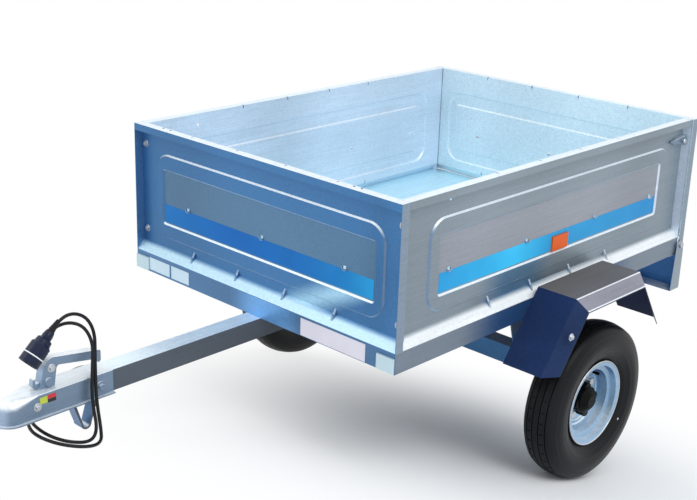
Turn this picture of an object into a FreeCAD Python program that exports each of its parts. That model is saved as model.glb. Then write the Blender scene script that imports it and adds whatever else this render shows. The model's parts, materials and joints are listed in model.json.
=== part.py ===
import FreeCAD, Part
import Sketcher
import math
import os
import re

# A small galvanised box trailer for one car: folded sheet panels on a channel frame, one square drawbar
# with a pressed ball coupling, and two 8 inch wheels on trailing arms.
#
# Every piece is drawn as the trailer is towed, level: +X points to the coupling, +Y to the left wheel, and
# Z is the height over the road. X is zero at the front of the load box. The whole trailer is then tipped
# nose down about its axle, as far as the skid under the coupling reaches the ground, which is how it parks.

# Driving sizes, in millimetres. Each one is a cell of the sheet, under its own name.
SIZES = {
    # load box
    "box_length": 1204,
    "box_width": 920,
    "floor_top": 515,
    "rim_top": 856,
    "wall_depth": 24,
    "rim_lip": 18,
    "sheet": 1.5,
    "seam": 0.3,
    # pressed relief of the walls: a raised frame round a sunk field, with hooks and gusset darts
    "press_rise": 4,
    "frame_foot": 48,
    "frame_head": 67,
    "frame_round": 50,
    "frame_end": 60,
    "frame_fore": 123,
    "frame_aft": 67,
    "field_foot": 89,
    "field_head": 111,
    "field_round": 6,
    "field_end": 90,
    "field_fore": 161,
    "field_aft": 115,
    "hook_level": 144,
    "hook_reach": 8,
    "hook_pitch": 276,
    "hook_fore": 404,
    "hook_mid_fore": 107,
    "hook_mid_aft": 187,
    "hook_aft": 456,
    "dart_pitch": 168,
    "dart_wide": 6,
    "dart_groove": 3,
    "dart_run": 13,
    "stake_hole": 4,
    "stake_fore": 190,
    "stake_drop": 30,
    # chassis
    "rail_high": 49.5,
    "rail_flange": 38,
    "rail_wall": 2,
    "beam_rail_centre": 620,
    # drawbar
    "bar_size": 50,
    "bar_wall": 3,
    "bar_front": 612,
    "bar_rear": 655,
    # coupling
    "coupling_rear": 438,
    "coupling_nose": 704,
    "coupling_half": 31,
    "coupling_wall": 3,
    "coupling_flange": 8,
    "coupling_blend": 625,
    "coupling_edge": 2,
    "ball_radius": 25.2,
    "ball_back": 34,
    "ball_skirt": 14,
    # skid under the coupling
    "skid_centre": 500,
    "skid_drop": 75,
    "skid_spread": 56,
    "skid_width": 30,
    "skid_steel": 5,
    "skid_radius": 13,
    # lever
    "lever_pivot": 592,
    "lever_rise": 64,
    "lever_reach": 138,
    "lever_width": 22,
    "lever_thick": 19,
    "lever_fall": 17,
    "lever_bend": 30,
    "lever_steel": 2.5,
    "lever_drum": 10,
    # wheels
    "wheel_centre": 668,
    "wheel_out": 72,
    "tyre_radius": 211.5,
    "tyre_width": 104,
    "tread_width": 76,
    "tread_crown": 8.5,
    "rim_width": 64,
    "rim_seat": 103,
    "rim_edge": 114,
    "bead_clear": 2,
    "rim_drop": 88,
    "rim_steel": 3,
    "disc_back": 15,
    "stud_circle": 50,
    "stud_hole": 6.5,
    "ridge_inner": 61,
    "ridge_pitch": 12,
    "ridge_rise": 3,
    "cap_round": 36,
    "cap_lobe": 13,
    "cap_reach": 47,
    "hub_barrel": 29,
    "hub_flange": 62,
    "hub_out": 16,
    "hub_inner": 60,
    "stub_radius": 12.5,
    "spindle_play": 0.5,
    "running_gap": 0.05,
    # axle
    "beam_size": 50,
    "beam_lead": 95,
    "beam_lift": 105,
    "arm_thick": 22,
    "arm_in": 3,
    "arm_eye": 30,
    "hanger_wide": 120,
    "hanger_steel": 4,
    # mudguards
    "guard_front": 525,
    "guard_rear": 811,
    "guard_top": 538,
    "guard_front_foot": 401,
    "guard_front_low": 369,
    "guard_rear_foot": 915,
    "guard_rear_low": 384,
    "guard_wide": 142,
    "guard_chamfer": 29,
    "guard_steel": 2,
    # tailgate and light panel
    "gate_gap": 2,
    "gate_depth": 24,
    "gate_side": 2,
    "pivot_back": 10,
    "pivot_drop": 25,
    "pivot_radius": 5,
    "lug_radius": 16,
    "light_low": 356,
    "light_high": 464,
    "light_back": 26,
    "light_front": 20,
    "light_side": 5.2,
    "lamp_wide": 200,
    "lamp_high": 90,
    "lamp_deep": 38,
    "lamp_inset": 14,
    # tailgate catches, one in the hollow of each side wall
    "catch_drop": 59,
    "catch_long": 68,
    "catch_wide": 22,
    "catch_deep": 12,
    # reflectors
    "reflector_deep": 5,
    "front_reflector_wide": 50,
    "front_reflector_high": 36,
    "side_reflector_aft": 65,
    "side_reflector_wide": 66,
    "side_reflector_clear": 2,
    "side_reflector_high": 38,
    # light cable, its gland and its plug
    "cable_diameter": 7.5,
    "gland_place": 424,
    "gland_radius": 9,
    "gland_long": 12,
    "plug_long": 80,
    "plug_radius": 23,
    "plug_wall": 3,
    "plug_mouth": 18,
}

doc = FreeCAD.newDocument("box_trailer")
sizes = doc.addObject("Spreadsheet::Sheet", "Sizes")
for row, (name, number) in enumerate(SIZES.items(), start=1):
    sizes.set("A%d" % row, name)
    sizes.set("B%d" % row, str(number))
    sizes.setAlias("B%d" % row, name)
doc.recompute()

parts = []


def fx(formula):
    """The formula with the name of each size pointed at its cell in the sheet."""
    def cell(word):
        return "Sizes." + word.group() if word.group() in SIZES else word.group()
    return re.sub(r"[a-z_]+", cell, str(formula))


def value(formula):
    """What a formula of sizes comes to, as a plain number."""
    return float(sizes.evalExpression(fx(formula)))


def new_body(label):
    """An empty body, which will be one piece of the trailer."""
    body = doc.addObject("PartDesign::Body", label)
    body.Label = label
    parts.append(body)
    return body


def new_sketch(body, role, offset, across="0"):
    """A sketch on one of the body's own planes, moved along its normal and along its first axis."""
    sketch = body.newObject("Sketcher::SketchObject", "Sketch")
    plane = [feature for feature in body.Origin.OriginFeatures if feature.Role == role][0]
    sketch.AttachmentSupport = (plane, [""])
    sketch.MapMode = "FlatFace"
    sketch.setExpression("AttachmentOffset.Base.x", fx(across))
    sketch.setExpression("AttachmentOffset.Base.z", fx(offset))
    return sketch


def arc_between(start, end, radius):
    """The minor arc between two points, bulging to the right of the way from start to end where the radius
    is positive. A sketch keeps its arcs anticlockwise, so one that bulges left is drawn from its end."""
    if radius < 0:
        start, end = end, start
    way = end - start
    right = FreeCAD.Vector(way.y, -way.x, 0).normalize()
    leg = math.sqrt(max(radius * radius - way.Length ** 2 / 4, 0))
    centre = (start + end) * 0.5 - right * leg
    return Part.Arc(start, centre + right * abs(radius), end)


def pin_centre(sketch, index, corner, after):
    """Holds an arc's centre where its two ends and its radius put it, by the coordinate that moves more."""
    (u, v, radius), (next_u, next_v) = corner, after[:2]
    run, rise = "((%s)-(%s))" % (next_u, u), "((%s)-(%s))" % (next_v, v)
    chord = "(%s^2+%s^2)" % (run, rise)
    side = "1" if value(radius) > 0 else "-1"
    leg = "(%s)*sqrt((%s)^2/%s-0.25)" % (side, radius, chord)
    if abs(value(rise)) > abs(value(run)):
        kind, formula = "DistanceX", "((%s)+(%s))/2-%s*%s" % (u, next_u, rise, leg)
    else:
        kind, formula = "DistanceY", "((%s)+(%s))/2+%s*%s" % (v, next_v, run, leg)
    number = sketch.addConstraint(Sketcher.Constraint(kind, -1, 1, index, 3, value(formula)))
    sketch.setExpression("Constraints[%d]" % number, fx(formula))


def draw_outline(sketch, corners):
    """A closed outline. Each corner is (u, v), or (u, v, radius) where an arc leads on to the next corner."""
    points = [FreeCAD.Vector(value(corner[0]), value(corner[1]), 0) for corner in corners]
    first = sketch.GeometryCount
    count = len(points)
    for index, corner in enumerate(corners):
        start, end = points[index], points[(index + 1) % count]
        if len(corner) == 3:
            sketch.addGeometry(arc_between(start, end, value(corner[2])))
        else:
            sketch.addGeometry(Part.LineSegment(start, end))
    ends = []
    for index in range(count):
        curve = sketch.Geometry[first + index]
        forward = curve.StartPoint.distanceToPoint(points[index]) < 1e-6
        ends.append((1, 2) if forward else (2, 1))
    for index in range(count):
        after = (index + 1) % count
        sketch.addConstraint(Sketcher.Constraint(
            "Coincident", first + index, ends[index][1], first + after, ends[after][0]))
    for index, corner in enumerate(corners):
        for kind, formula, place in (("DistanceX", corner[0], points[index].x),
                                     ("DistanceY", corner[1], points[index].y)):
            number = sketch.addConstraint(Sketcher.Constraint(
                kind, -1, 1, first + index, ends[index][0], place))
            sketch.setExpression("Constraints[%d]" % number, fx(formula))
        if len(corner) == 3:
            pin_centre(sketch, first + index, corner, corners[(index + 1) % count])


def draw_circle(sketch, u, v, radius):
    """A circle whose centre and radius are formulas."""
    centre = FreeCAD.Vector(value(u), value(v), 0)
    index = sketch.addGeometry(Part.Circle(centre, FreeCAD.Vector(0, 0, 1), value(radius)))
    for kind, formula, place in (("DistanceX", u, centre.x), ("DistanceY", v, centre.y)):
        number = sketch.addConstraint(Sketcher.Constraint(kind, -1, 1, index, 3, place))
        sketch.setExpression("Constraints[%d]" % number, fx(formula))
    number = sketch.addConstraint(Sketcher.Constraint("Radius", index, value(radius)))
    sketch.setExpression("Constraints[%d]" % number, fx(radius))


def pad(body, role, low, high, draw):
    """Adds material between two heights along a plane's axis. The XZ plane's own normal is -Y."""
    offset = "-(%s)" % high if role == "XZ_Plane" else low
    sketch = new_sketch(body, role, offset)
    draw(sketch)
    feature = body.newObject("PartDesign::Pad", "Pad")
    feature.Profile = sketch
    feature.setExpression("Length", fx("(%s)-(%s)" % (high, low)))
    return feature


def cut(body, role, low, high, draw):
    """Takes material away between two heights along a plane's axis, and checks that some went."""
    doc.recompute()
    before = body.Shape.Volume
    offset = "-(%s)" % low if role == "XZ_Plane" else high
    sketch = new_sketch(body, role, offset)
    draw(sketch)
    feature = body.newObject("PartDesign::Pocket", "Pocket")
    feature.Profile = sketch
    feature.setExpression("Length", fx("(%s)-(%s)" % (high, low)))
    doc.recompute()
    if body.Shape.Volume >= before:
        raise RuntimeError("A cut in %s takes nothing away" % body.Label)
    return feature


def turn(body, corners):
    """A body of revolution about its own Y axis, from an outline in (y, radius)."""
    sketch = new_sketch(body, "YZ_Plane", "0")
    draw_outline(sketch, corners)
    feature = body.newObject("PartDesign::Revolution", "Revolution")
    feature.Profile = sketch
    feature.ReferenceAxis = (sketch, ["H_Axis"])
    feature.Angle = 360
    return feature


def outline(corners):
    """A drawing step for pad and cut: one closed outline."""
    return lambda sketch: draw_outline(sketch, corners)


def circles(*places):
    """A drawing step for pad and cut: circles, each (u, v, radius)."""
    def draw(sketch):
        for u, v, radius in places:
            draw_circle(sketch, u, v, radius)
    return draw


def rectangle(u_low, u_high, v_low, v_high):
    """A drawing step for pad and cut: one upright rectangle."""
    return outline([(u_low, v_low), (u_high, v_low), (u_high, v_high), (u_low, v_high)])


def rounded(u_low, u_high, v_low, v_high, radius, grow="0"):
    """A drawing step: one upright rectangle with round corners, grown by the same amount on every side."""
    left, right = "%s-(%s)" % (u_low, grow), "%s+(%s)" % (u_high, grow)
    low, high = "%s-(%s)" % (v_low, grow), "%s+(%s)" % (v_high, grow)
    bend = "((%s)+(%s))" % (radius, grow)
    return outline([
        (left + "+" + bend, low), (right + "-" + bend, low, bend),
        (right, low + "+" + bend), (right, high + "-" + bend, bend),
        (right + "-" + bend, high), (left + "+" + bend, high, bend),
        (left, high + "-" + bend), (left, low + "+" + bend, bend)])


def loft(body, kind, role, sections):
    """Adds or takes away the straight sided form between two outlines at two heights along a plane's axis."""
    doc.recompute()
    before = body.Shape.Volume
    sketches = []
    for height, draw in sections:
        sketches.append(new_sketch(body, role, "-(%s)" % height if role == "XZ_Plane" else height))
        draw(sketches[-1])
    feature = body.newObject("PartDesign::" + kind, kind)
    feature.Profile = sketches[0]
    feature.Sections = [sketches[1]]
    feature.Ruled = True
    doc.recompute()
    if (body.Shape.Volume > before) != (kind == "AdditiveLoft"):
        raise RuntimeError("A loft in %s changes nothing" % body.Label)


# Heights and places that several pieces share, as formulas of the sizes.
HALF = "box_width/2"
RAIL_TOP = "(floor_top-sheet)"
RAIL_LOW = "(floor_top-sheet-rail_high)"
SKIN = "(box_width/2-wall_depth)"
BAR_TOP = RAIL_LOW
BAR_LOW = "(floor_top-sheet-rail_high-bar_size)"
BEAM_X = "(-wheel_centre+beam_lead)"
BEAM_Z = "(tyre_radius+beam_lift)"
GATE_X = "(-box_length-gate_gap)"
PIVOT_X = "(-box_length-pivot_back)"
PIVOT_Z = "(floor_top-pivot_drop)"
CATCH_Z = "(rim_top-catch_drop)"
STUD = "(stud_circle*cos(45 deg))"
FIELD_LOW = "(floor_top+field_foot)"
FOLD = "(sheet*tan(22.5 deg))"
MIDDLE = "(-box_length/2)"
WHEEL_Y = "(box_width/2+wheel_out)"
ARM_Y = "(box_width/2-arm_in)"
GUARD_Y = "(box_width/2+guard_wide)"
SIDES = (("left", 1), ("right", -1))


def wall_profile(out, skin, inward):
    """The folded section of a wall: foot, flare, skin, rim and lip, as (across, height) corners.

    out and skin are where the outer edge and the skin's outer face lie; inward is +1 or -1, the way from
    the outer edge to the load space.
    """
    edge = "(%s)" % out
    face = "(%s)" % skin
    step = "(%d)" % inward
    return [
        (edge, "floor_top"),
        (face, "floor_top+wall_depth"),
        (face, "rim_top-sheet"),
        ("%s+%s*sheet" % (edge, step), "rim_top-sheet"),
        ("%s+%s*sheet" % (edge, step), "rim_top-rim_lip"),
        (edge, "rim_top-rim_lip"),
        (edge, "rim_top"),
        ("%s+%s*sheet" % (face, step), "rim_top"),
        ("%s+%s*sheet" % (face, step), "floor_top+wall_depth-sheet*tan(22.5 deg)"),
        ("%s+%s*sheet*sqrt(2)" % (edge, step), "floor_top"),
    ]


def end_plate(out, skin):
    """The flat end that closes a wall's outer hollow, between the skin and the outer edge."""
    return rectangle(skin, out, "floor_top", "rim_top-sheet")


def press_frame(body, role, skin, out, frame, field):
    """Presses the raised frame out of a wall's skin, with the field inside it back on the skin's own plane.

    skin is where the skin's outer face lies, out the way outwards, +1 or -1; frame and field are the ends
    of the two outlines along the wall. All slopes are at 45 degrees, and the sheet keeps its thickness.
    """
    def at(height):
        return "%s+(%d)*(%s)" % (skin, out, height)

    def frame_outline(grow):
        return rounded(frame[0], frame[1], "floor_top+frame_foot", "rim_top-frame_head", "frame_round", grow)

    def field_outline(grow):
        return rounded(field[0], field[1], FIELD_LOW, "rim_top-field_head", "field_round", grow)

    loft(body, "AdditiveLoft", role, (
        (at("0"), frame_outline("0")), (at("press_rise"), frame_outline("-press_rise"))))
    loft(body, "SubtractiveLoft", role, (
        (at("-sheet"), frame_outline("-" + FOLD)),
        (at("press_rise-sheet"), frame_outline("-press_rise-" + FOLD))))
    loft(body, "AdditiveLoft", role, (
        (at("-sheet"), field_outline(FOLD)), (at("press_rise-sheet"), field_outline("press_rise+" + FOLD))))
    loft(body, "SubtractiveLoft", role, (
        (at("0"), field_outline("0")), (at("press_rise"), field_outline("press_rise"))))


def lance_hooks(body, role, across, skin, out, places):
    """Rope hooks lanced out of the field: a quarter of a ball, open at its top, and the window that it left.

    role is the plane of the wall, across the upright plane that cuts it square; places run along the wall.
    """
    mouth = "(floor_top+hook_level)"
    step = "(%d)" % out
    cup = [
        ("0", mouth + "-hook_reach", step + "*hook_reach"), (step + "*hook_reach", mouth),
        (step + "*(hook_reach-sheet)", mouth, "-%s*(hook_reach-sheet)" % step),
        ("0", mouth + "-hook_reach+sheet")]
    for place in places:
        height = "-(%s)" % place if across == "XZ_Plane" else place
        sketch = new_sketch(body, across, height, skin)
        draw_outline(sketch, cup)
        feature = body.newObject("PartDesign::Revolution", "Revolution")
        feature.Profile = sketch
        feature.ReferenceAxis = (sketch, ["V_Axis"])
        feature.Angle = 180
        feature.Midplane = True
        low, high = skin + "-%s*(sheet+1)" % step, skin
        if out < 0:
            low, high = high, low
        cut(body, role, low, high, rectangle(
            "(%s)-hook_reach*0.6" % place, "(%s)+hook_reach*0.6" % place,
            mouth + "-hook_reach*0.4", mouth + "+hook_reach*0.6"))


def press_darts(body, across, skin, out, places):
    """Gusset darts pressed over the folds at a wall's foot and rim, hollow from the load space."""
    step = "(%d)" % out
    back = "(%s-%s*sheet)" % (skin, step)
    foot, rim = "(floor_top+wall_depth)", "(rim_top-sheet)"
    inner_run = "(dart_run-2*sheet)"

    def ridges(sketch):
        draw_outline(sketch, [
            (skin, foot + "+dart_run"), (skin, foot), ("%s+%s*dart_run" % (skin, step), foot + "-dart_run")])
        draw_outline(sketch, [
            (skin, rim + "-dart_run"), ("%s+%s*dart_run" % (skin, step), rim), (skin, rim)])

    def grooves(sketch):
        draw_outline(sketch, [
            (back, "%s+%s" % (foot, inner_run)), (back, "%s-%s" % (foot, FOLD)),
            ("%s+%s*%s" % (back, step, inner_run), "%s-%s-%s" % (foot, FOLD, inner_run))])
        draw_outline(sketch, [
            (back, "rim_top-" + inner_run), ("%s+%s*%s" % (back, step, inner_run), "rim_top"),
            (back, "rim_top")])

    for place in places:
        pad(body, across, "%s-dart_wide/2" % place, "%s+dart_wide/2" % place, ridges)
        cut(body, across, "%s-dart_groove/2" % place, "%s+dart_groove/2" % place, grooves)


def spread(middle, pitch, count):
    """Places at an even pitch about a middle, as formulas."""
    return ["(%s+(%s)*%s)" % (middle, index - (count - 1) / 2, pitch) for index in range(count)]


def press_end_wall(body, skin, out):
    """The relief of the front wall and the tailgate, which are alike."""
    frame, field = ("-(%s-frame_end)" % HALF, HALF + "-frame_end"), ("-(%s-field_end)" % HALF, HALF + "-field_end")
    press_frame(body, "YZ_Plane", skin, out, frame, field)
    lance_hooks(body, "YZ_Plane", "XZ_Plane", skin, out, spread("0", "hook_pitch", 3))
    press_darts(body, "XZ_Plane", skin, out, spread("0", "dart_pitch", 4))


def make_front_panel():
    body = new_body("front_panel")
    pad(body, "XZ_Plane", "-" + HALF, HALF, outline(wall_profile("0", "-wall_depth", -1)))
    for low, high in (("-" + HALF, "-%s+sheet" % HALF), ("%s-sheet" % HALF, HALF)):
        pad(body, "XZ_Plane", low, high, end_plate("0", "-wall_depth"))
    press_end_wall(body, "-wall_depth", 1)


def make_side_panel(side, sign):
    body = new_body("side_panel_" + side)
    profile = wall_profile("%d*%s" % (sign, HALF), "%d*%s" % (sign, SKIN), -sign)
    pad(body, "YZ_Plane", "-box_length", "-wall_depth-sheet-seam", outline(profile))
    pad(body, "YZ_Plane", "-box_length", "-box_length+sheet",
        end_plate("%d*%s" % (sign, HALF), "%d*%s" % (sign, SKIN)))
    near, far = "%d*(%s+sheet)" % (sign, SKIN), "%d*(%s+catch_deep+2)" % (sign, SKIN)
    cut(body, "YZ_Plane", "-box_length-1", "-box_length+sheet+1", rectangle(
        near, far, CATCH_Z + "-catch_wide*0.7", CATCH_Z + "+catch_wide*0.7"))
    skin = "(%d)*%s" % (sign, SKIN)
    press_frame(body, "XZ_Plane", skin, sign, ("-box_length+frame_aft", "-frame_fore"),
                ("-box_length+field_aft", "-field_fore"))
    lance_hooks(body, "XZ_Plane", "YZ_Plane", skin, sign, [
        MIDDLE + "+hook_fore", MIDDLE + "+hook_mid_fore", MIDDLE + "-hook_mid_aft", MIDDLE + "-hook_aft"])
    press_darts(body, "YZ_Plane", skin, sign, spread(MIDDLE, "dart_pitch", 4))
    low, high = ("%s-sheet" % SKIN, SKIN) if sign > 0 else ("-" + SKIN, "-%s+sheet" % SKIN)
    cut(body, "XZ_Plane", low, high, circles(("-stake_fore", "rim_top-stake_drop", "stake_hole")))


def make_tailgate():
    body = new_body("tailgate_panel")
    rear = GATE_X + "-gate_depth"
    profile = wall_profile(rear, GATE_X + "-sheet", 1)
    reach = "(box_width/2+gate_side)"
    pad(body, "XZ_Plane", "-" + reach, reach, outline(profile))
    ear = outline([
        (rear, "rim_top"), (rear, PIVOT_Z + "+lug_radius"),
        (PIVOT_X + "-lug_radius", PIVOT_Z, "lug_radius"),
        (PIVOT_X, PIVOT_Z + "-lug_radius", "lug_radius"),
        (PIVOT_X + "+lug_radius", PIVOT_Z),
        (GATE_X, "floor_top"), (GATE_X, "rim_top")])
    for low, high in ((reach, reach + "+sheet"), ("-%s-sheet" % reach, "-" + reach)):
        pad(body, "XZ_Plane", low, high, ear)
        cut(body, "XZ_Plane", low + "-1", high + "+1",
            circles((PIVOT_X, PIVOT_Z, "pivot_radius+running_gap")))
    press_end_wall(body, "(%s-sheet)" % GATE_X, -1)


def make_floor():
    body = new_body("floor_panel")
    pad(body, "XY_Plane", "floor_top-sheet", "floor_top",
        rectangle("-box_length", "0", "-" + HALF, HALF))


def channel_lips(web, step):
    """The two lips of a channel, as rectangles beside its web; step is the way from web to lips."""
    near, far = "%s+%s*rail_wall" % (web, step), "%s+%s*rail_flange" % (web, step)
    return [rectangle(near, far, RAIL_LOW, RAIL_LOW + "+rail_wall"),
            rectangle(near, far, RAIL_TOP + "-rail_wall", RAIL_TOP)]


def make_rail(label, role, web, inward, ends, lip_ends):
    """A channel rail: its upright web between two places along it, and its lips between two others."""
    body = new_body(label)
    step = "(%d)" % inward
    pad(body, role, ends[0], ends[1], rectangle(web, "%s+%s*rail_wall" % (web, step), RAIL_LOW, RAIL_TOP))
    for lip in channel_lips(web, step):
        pad(body, role, lip_ends[0], lip_ends[1], lip)
    return body


def make_rails():
    front, rear = "-rail_wall-seam", "-box_length+rail_wall+seam"
    for side, sign in SIDES:
        web = "%d*%s" % (sign, HALF)
        make_rail("side_rail_" + side, "YZ_Plane", web, -sign, (rear, front), (rear, front))
    across = ("-" + HALF, HALF)
    between = ("-%s+rail_flange+seam" % HALF, HALF + "-rail_flange-seam")
    make_rail("front_rail", "XZ_Plane", "0", -1, across, between)
    make_rail("rear_rail", "XZ_Plane", "-box_length", 1, across, between)
    make_rail("middle_rail", "XZ_Plane", "-beam_rail_centre", 1, between, between)


def make_drawbar():
    body = new_body("drawbar")
    half = "bar_size/2"
    pad(body, "YZ_Plane", "-bar_rear", "bar_front", rectangle("-" + half, half, BAR_LOW, BAR_TOP))
    cut(body, "YZ_Plane", "-bar_rear-1", "bar_front+1",
        rectangle("-%s+bar_wall" % half, half + "-bar_wall", BAR_LOW + "+bar_wall", BAR_TOP + "-bar_wall"))


def make_coupling():
    """The pressed housing over the drawbar's end, solid at the nose where the ball's cup is sunk in."""
    body = new_body("coupling_body")
    nose_centre = "(coupling_nose-coupling_half)"
    top = "(%s+seam+coupling_wall)" % BAR_TOP
    dome = "(coupling_half-1)"

    def arch(round_over):
        return outline([
            ("-coupling_half", BAR_LOW), ("coupling_half", BAR_LOW),
            ("coupling_half", top + "-" + round_over, round_over), ("coupling_half-" + round_over, top),
            ("-(coupling_half-%s)" % round_over, top, round_over),
            ("-coupling_half", top + "-" + round_over)])

    foot = outline([
        ("coupling_rear", "-coupling_half-coupling_flange"),
        (nose_centre, "-coupling_half-coupling_flange", "coupling_half+coupling_flange"),
        ("coupling_nose+coupling_flange", "0", "coupling_half+coupling_flange"),
        (nose_centre, "coupling_half+coupling_flange"),
        ("coupling_rear", "coupling_half+coupling_flange")])
    pad(body, "YZ_Plane", "coupling_rear", "coupling_blend", arch("coupling_edge"))
    loft(body, "AdditiveLoft", "YZ_Plane", (
        ("coupling_blend", arch("coupling_edge")), (nose_centre, arch(dome))))
    nose = new_sketch(body, "XZ_Plane", "0", nose_centre)
    draw_outline(nose, [
        ("0", BAR_LOW), ("coupling_half", BAR_LOW), ("coupling_half", top + "-" + dome, dome),
        ("coupling_half-" + dome, top), ("0", top)])
    ball_dome = body.newObject("PartDesign::Revolution", "Revolution")
    ball_dome.Profile = nose
    ball_dome.ReferenceAxis = (nose, ["V_Axis"])
    ball_dome.Angle = 180
    ball_dome.Midplane = True
    pad(body, "XY_Plane", BAR_LOW, BAR_LOW + "+coupling_wall", foot)
    inner = "(bar_size/2+seam)"
    cut(body, "YZ_Plane", "coupling_rear-1", "bar_front+seam",
        rectangle("-" + inner, inner, BAR_LOW + "-1", BAR_TOP + "+seam"))
    doc.recompute()
    cup = new_sketch(body, "XZ_Plane", "0", "coupling_nose-ball_back")
    draw_outline(cup, [
        ("0", BAR_LOW), ("ball_radius", BAR_LOW),
        ("ball_radius", BAR_LOW + "+ball_skirt", "ball_radius"),
        ("0", BAR_LOW + "+ball_skirt+ball_radius")])
    groove = body.newObject("PartDesign::Groove", "Groove")
    groove.Profile = cup
    groove.ReferenceAxis = (cup, ["V_Axis"])
    groove.Angle = 360
    body.Tip = groove
    before = body.Shape.Volume
    doc.recompute()
    if body.Shape.Volume >= before:
        raise RuntimeError("The ball's cup takes nothing out of the coupling")


def make_skid():
    """The bent steel strap under the coupling, on which the parked trailer stands."""
    body = new_body("drawbar_skid")
    low = BAR_LOW + "-skid_drop"
    out, inn = "skid_radius", "(skid_radius-skid_steel)"
    turn_z = "(%s+skid_radius)" % low
    half = "skid_spread/2"
    pad(body, "XZ_Plane", "-skid_width/2", "skid_width/2", outline([
        ("skid_centre-%s-skid_steel-10" % half, BAR_LOW),
        ("skid_centre-%s-skid_steel-10" % half, BAR_LOW + "-skid_steel"),
        ("skid_centre-%s-skid_steel" % half, BAR_LOW + "-skid_steel"),
        ("skid_centre-" + out, turn_z, out),
        ("skid_centre", low, out),
        ("skid_centre+" + out, turn_z),
        ("skid_centre+%s+skid_steel" % half, BAR_LOW + "-skid_steel"),
        ("skid_centre+%s+skid_steel+10" % half, BAR_LOW + "-skid_steel"),
        ("skid_centre+%s+skid_steel+10" % half, BAR_LOW),
        ("skid_centre+%s" % half, BAR_LOW),
        ("skid_centre+" + inn, turn_z, "-" + inn),
        ("skid_centre", low + "+skid_steel", "-" + inn),
        ("skid_centre-" + inn, turn_z),
        ("skid_centre-%s" % half, BAR_LOW)]))


def make_lever():
    body = new_body("coupling_lever")
    base = "(%s+seam+coupling_wall)" % BAR_TOP
    top = "(%s+lever_rise)" % base
    half = "lever_width/2"
    tip = "lever_pivot-lever_reach"
    pad(body, "XZ_Plane", "-" + half, half, outline([
        ("lever_pivot+16", base), ("lever_pivot+7", top + "-25", "lever_bend"),
        ("lever_pivot-18", top), (tip + "+6", top + "-lever_fall", "6"),
        (tip, top + "-lever_fall-6"), (tip, top + "-lever_fall-lever_thick-4", "6"),
        (tip + "+6", top + "-lever_fall-lever_thick-10"),
        (tip + "+14", top + "-lever_fall-lever_thick"),
        ("lever_pivot-34", top + "-lever_thick-2", "-8"),
        ("lever_pivot-26", top + "-lever_thick-10"), ("lever_pivot-20", base)]))
    cut(body, "XZ_Plane", "-(%s-lever_steel)" % half, half + "-lever_steel", outline([
        (tip + "+16", top + "-lever_fall-lever_steel"), (tip + "+16", top + "-lever_fall-lever_thick-2"),
        ("lever_pivot-36", top + "-lever_thick-4"), ("lever_pivot-36", top + "-2*lever_steel")]))
    pad(body, "XZ_Plane", "-(%s+5)" % half, half + "+5", circles(
        ("lever_pivot-6", base + "+lever_drum+2", "lever_drum")))
    pad(body, "XZ_Plane", "-%s*0.6" % half, half + "*0.6", outline([
        ("lever_pivot+9", base + "+5"), ("lever_pivot+26", base + "+3"), ("lever_pivot+31", base + "+9"),
        ("lever_pivot+29", base + "+24"), ("lever_pivot+24", base + "+24"),
        ("lever_pivot+23", base + "+13"), ("lever_pivot+8", base + "+14")]))


def make_axle():
    half = "beam_size/2"
    body = new_body("axle_beam")
    reach = "(%s-arm_thick-seam)" % ARM_Y
    pad(body, "XZ_Plane", "-" + reach, reach, rectangle(
        BEAM_X + "-" + half, BEAM_X + "+" + half, BEAM_Z + "-" + half, BEAM_Z + "+" + half))
    for side, sign in SIDES:
        hanger = new_body("axle_hanger_" + side)
        near, far = "(%s-beam_size)" % reach, reach
        low, high = (near, far) if sign > 0 else ("-" + far, "-" + near)
        top = RAIL_LOW
        pad(hanger, "XZ_Plane", low, high, rectangle(
            BEAM_X + "-hanger_wide/2", BEAM_X + "+hanger_wide/2", top + "-hanger_steel", top))
        web = outline([
            (BEAM_X + "-hanger_wide/2", top + "-hanger_steel"), (BEAM_X + "-" + half, BEAM_Z + "+" + half),
            (BEAM_X + "+" + half, BEAM_Z + "+" + half), (BEAM_X + "+hanger_wide/2", top + "-hanger_steel")])
        pad(hanger, "XZ_Plane", low, low + "+hanger_steel", web)
        pad(hanger, "XZ_Plane", high + "-hanger_steel", high, web)
        arm = new_body("swing_arm_" + side)
        inner = "(%s-arm_thick)" % ARM_Y
        low, high = (inner, ARM_Y) if sign > 0 else ("-" + ARM_Y, "-" + inner)
        pad(arm, "XZ_Plane", low, high, circles((BEAM_X, BEAM_Z, "arm_eye")))
        pad(arm, "XZ_Plane", low, high, circles(("-wheel_centre", "tyre_radius", "arm_eye*0.85")))
        run = "sqrt(beam_lead^2+beam_lift^2)"
        lean = ("%s*(arm_eye-2)" % ("beam_lift/" + run), "%s*(arm_eye-2)" % ("beam_lead/" + run))
        pad(arm, "XZ_Plane", low, high, outline([
            (BEAM_X + "-" + lean[0], BEAM_Z + "+" + lean[1]),
            ("-wheel_centre-0.8*" + lean[0], "tyre_radius+0.8*" + lean[1]),
            ("-wheel_centre+0.8*" + lean[0], "tyre_radius-0.8*" + lean[1]),
            (BEAM_X + "+" + lean[0], BEAM_Z + "-" + lean[1])]))
        hub_back = "(%s-hub_inner-spindle_play)" % WHEEL_Y
        low, high = (ARM_Y, hub_back) if sign > 0 else ("-" + hub_back, "-" + ARM_Y)
        pad(arm, "XZ_Plane", low, high, circles(("-wheel_centre", "tyre_radius", "stub_radius+8")))
        tip = "(%s+hub_out-spindle_play)" % WHEEL_Y
        low, high = (hub_back, tip) if sign > 0 else ("-" + tip, "-" + hub_back)
        pad(arm, "XZ_Plane", low, high, circles(("-wheel_centre", "tyre_radius", "stub_radius")))


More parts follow.
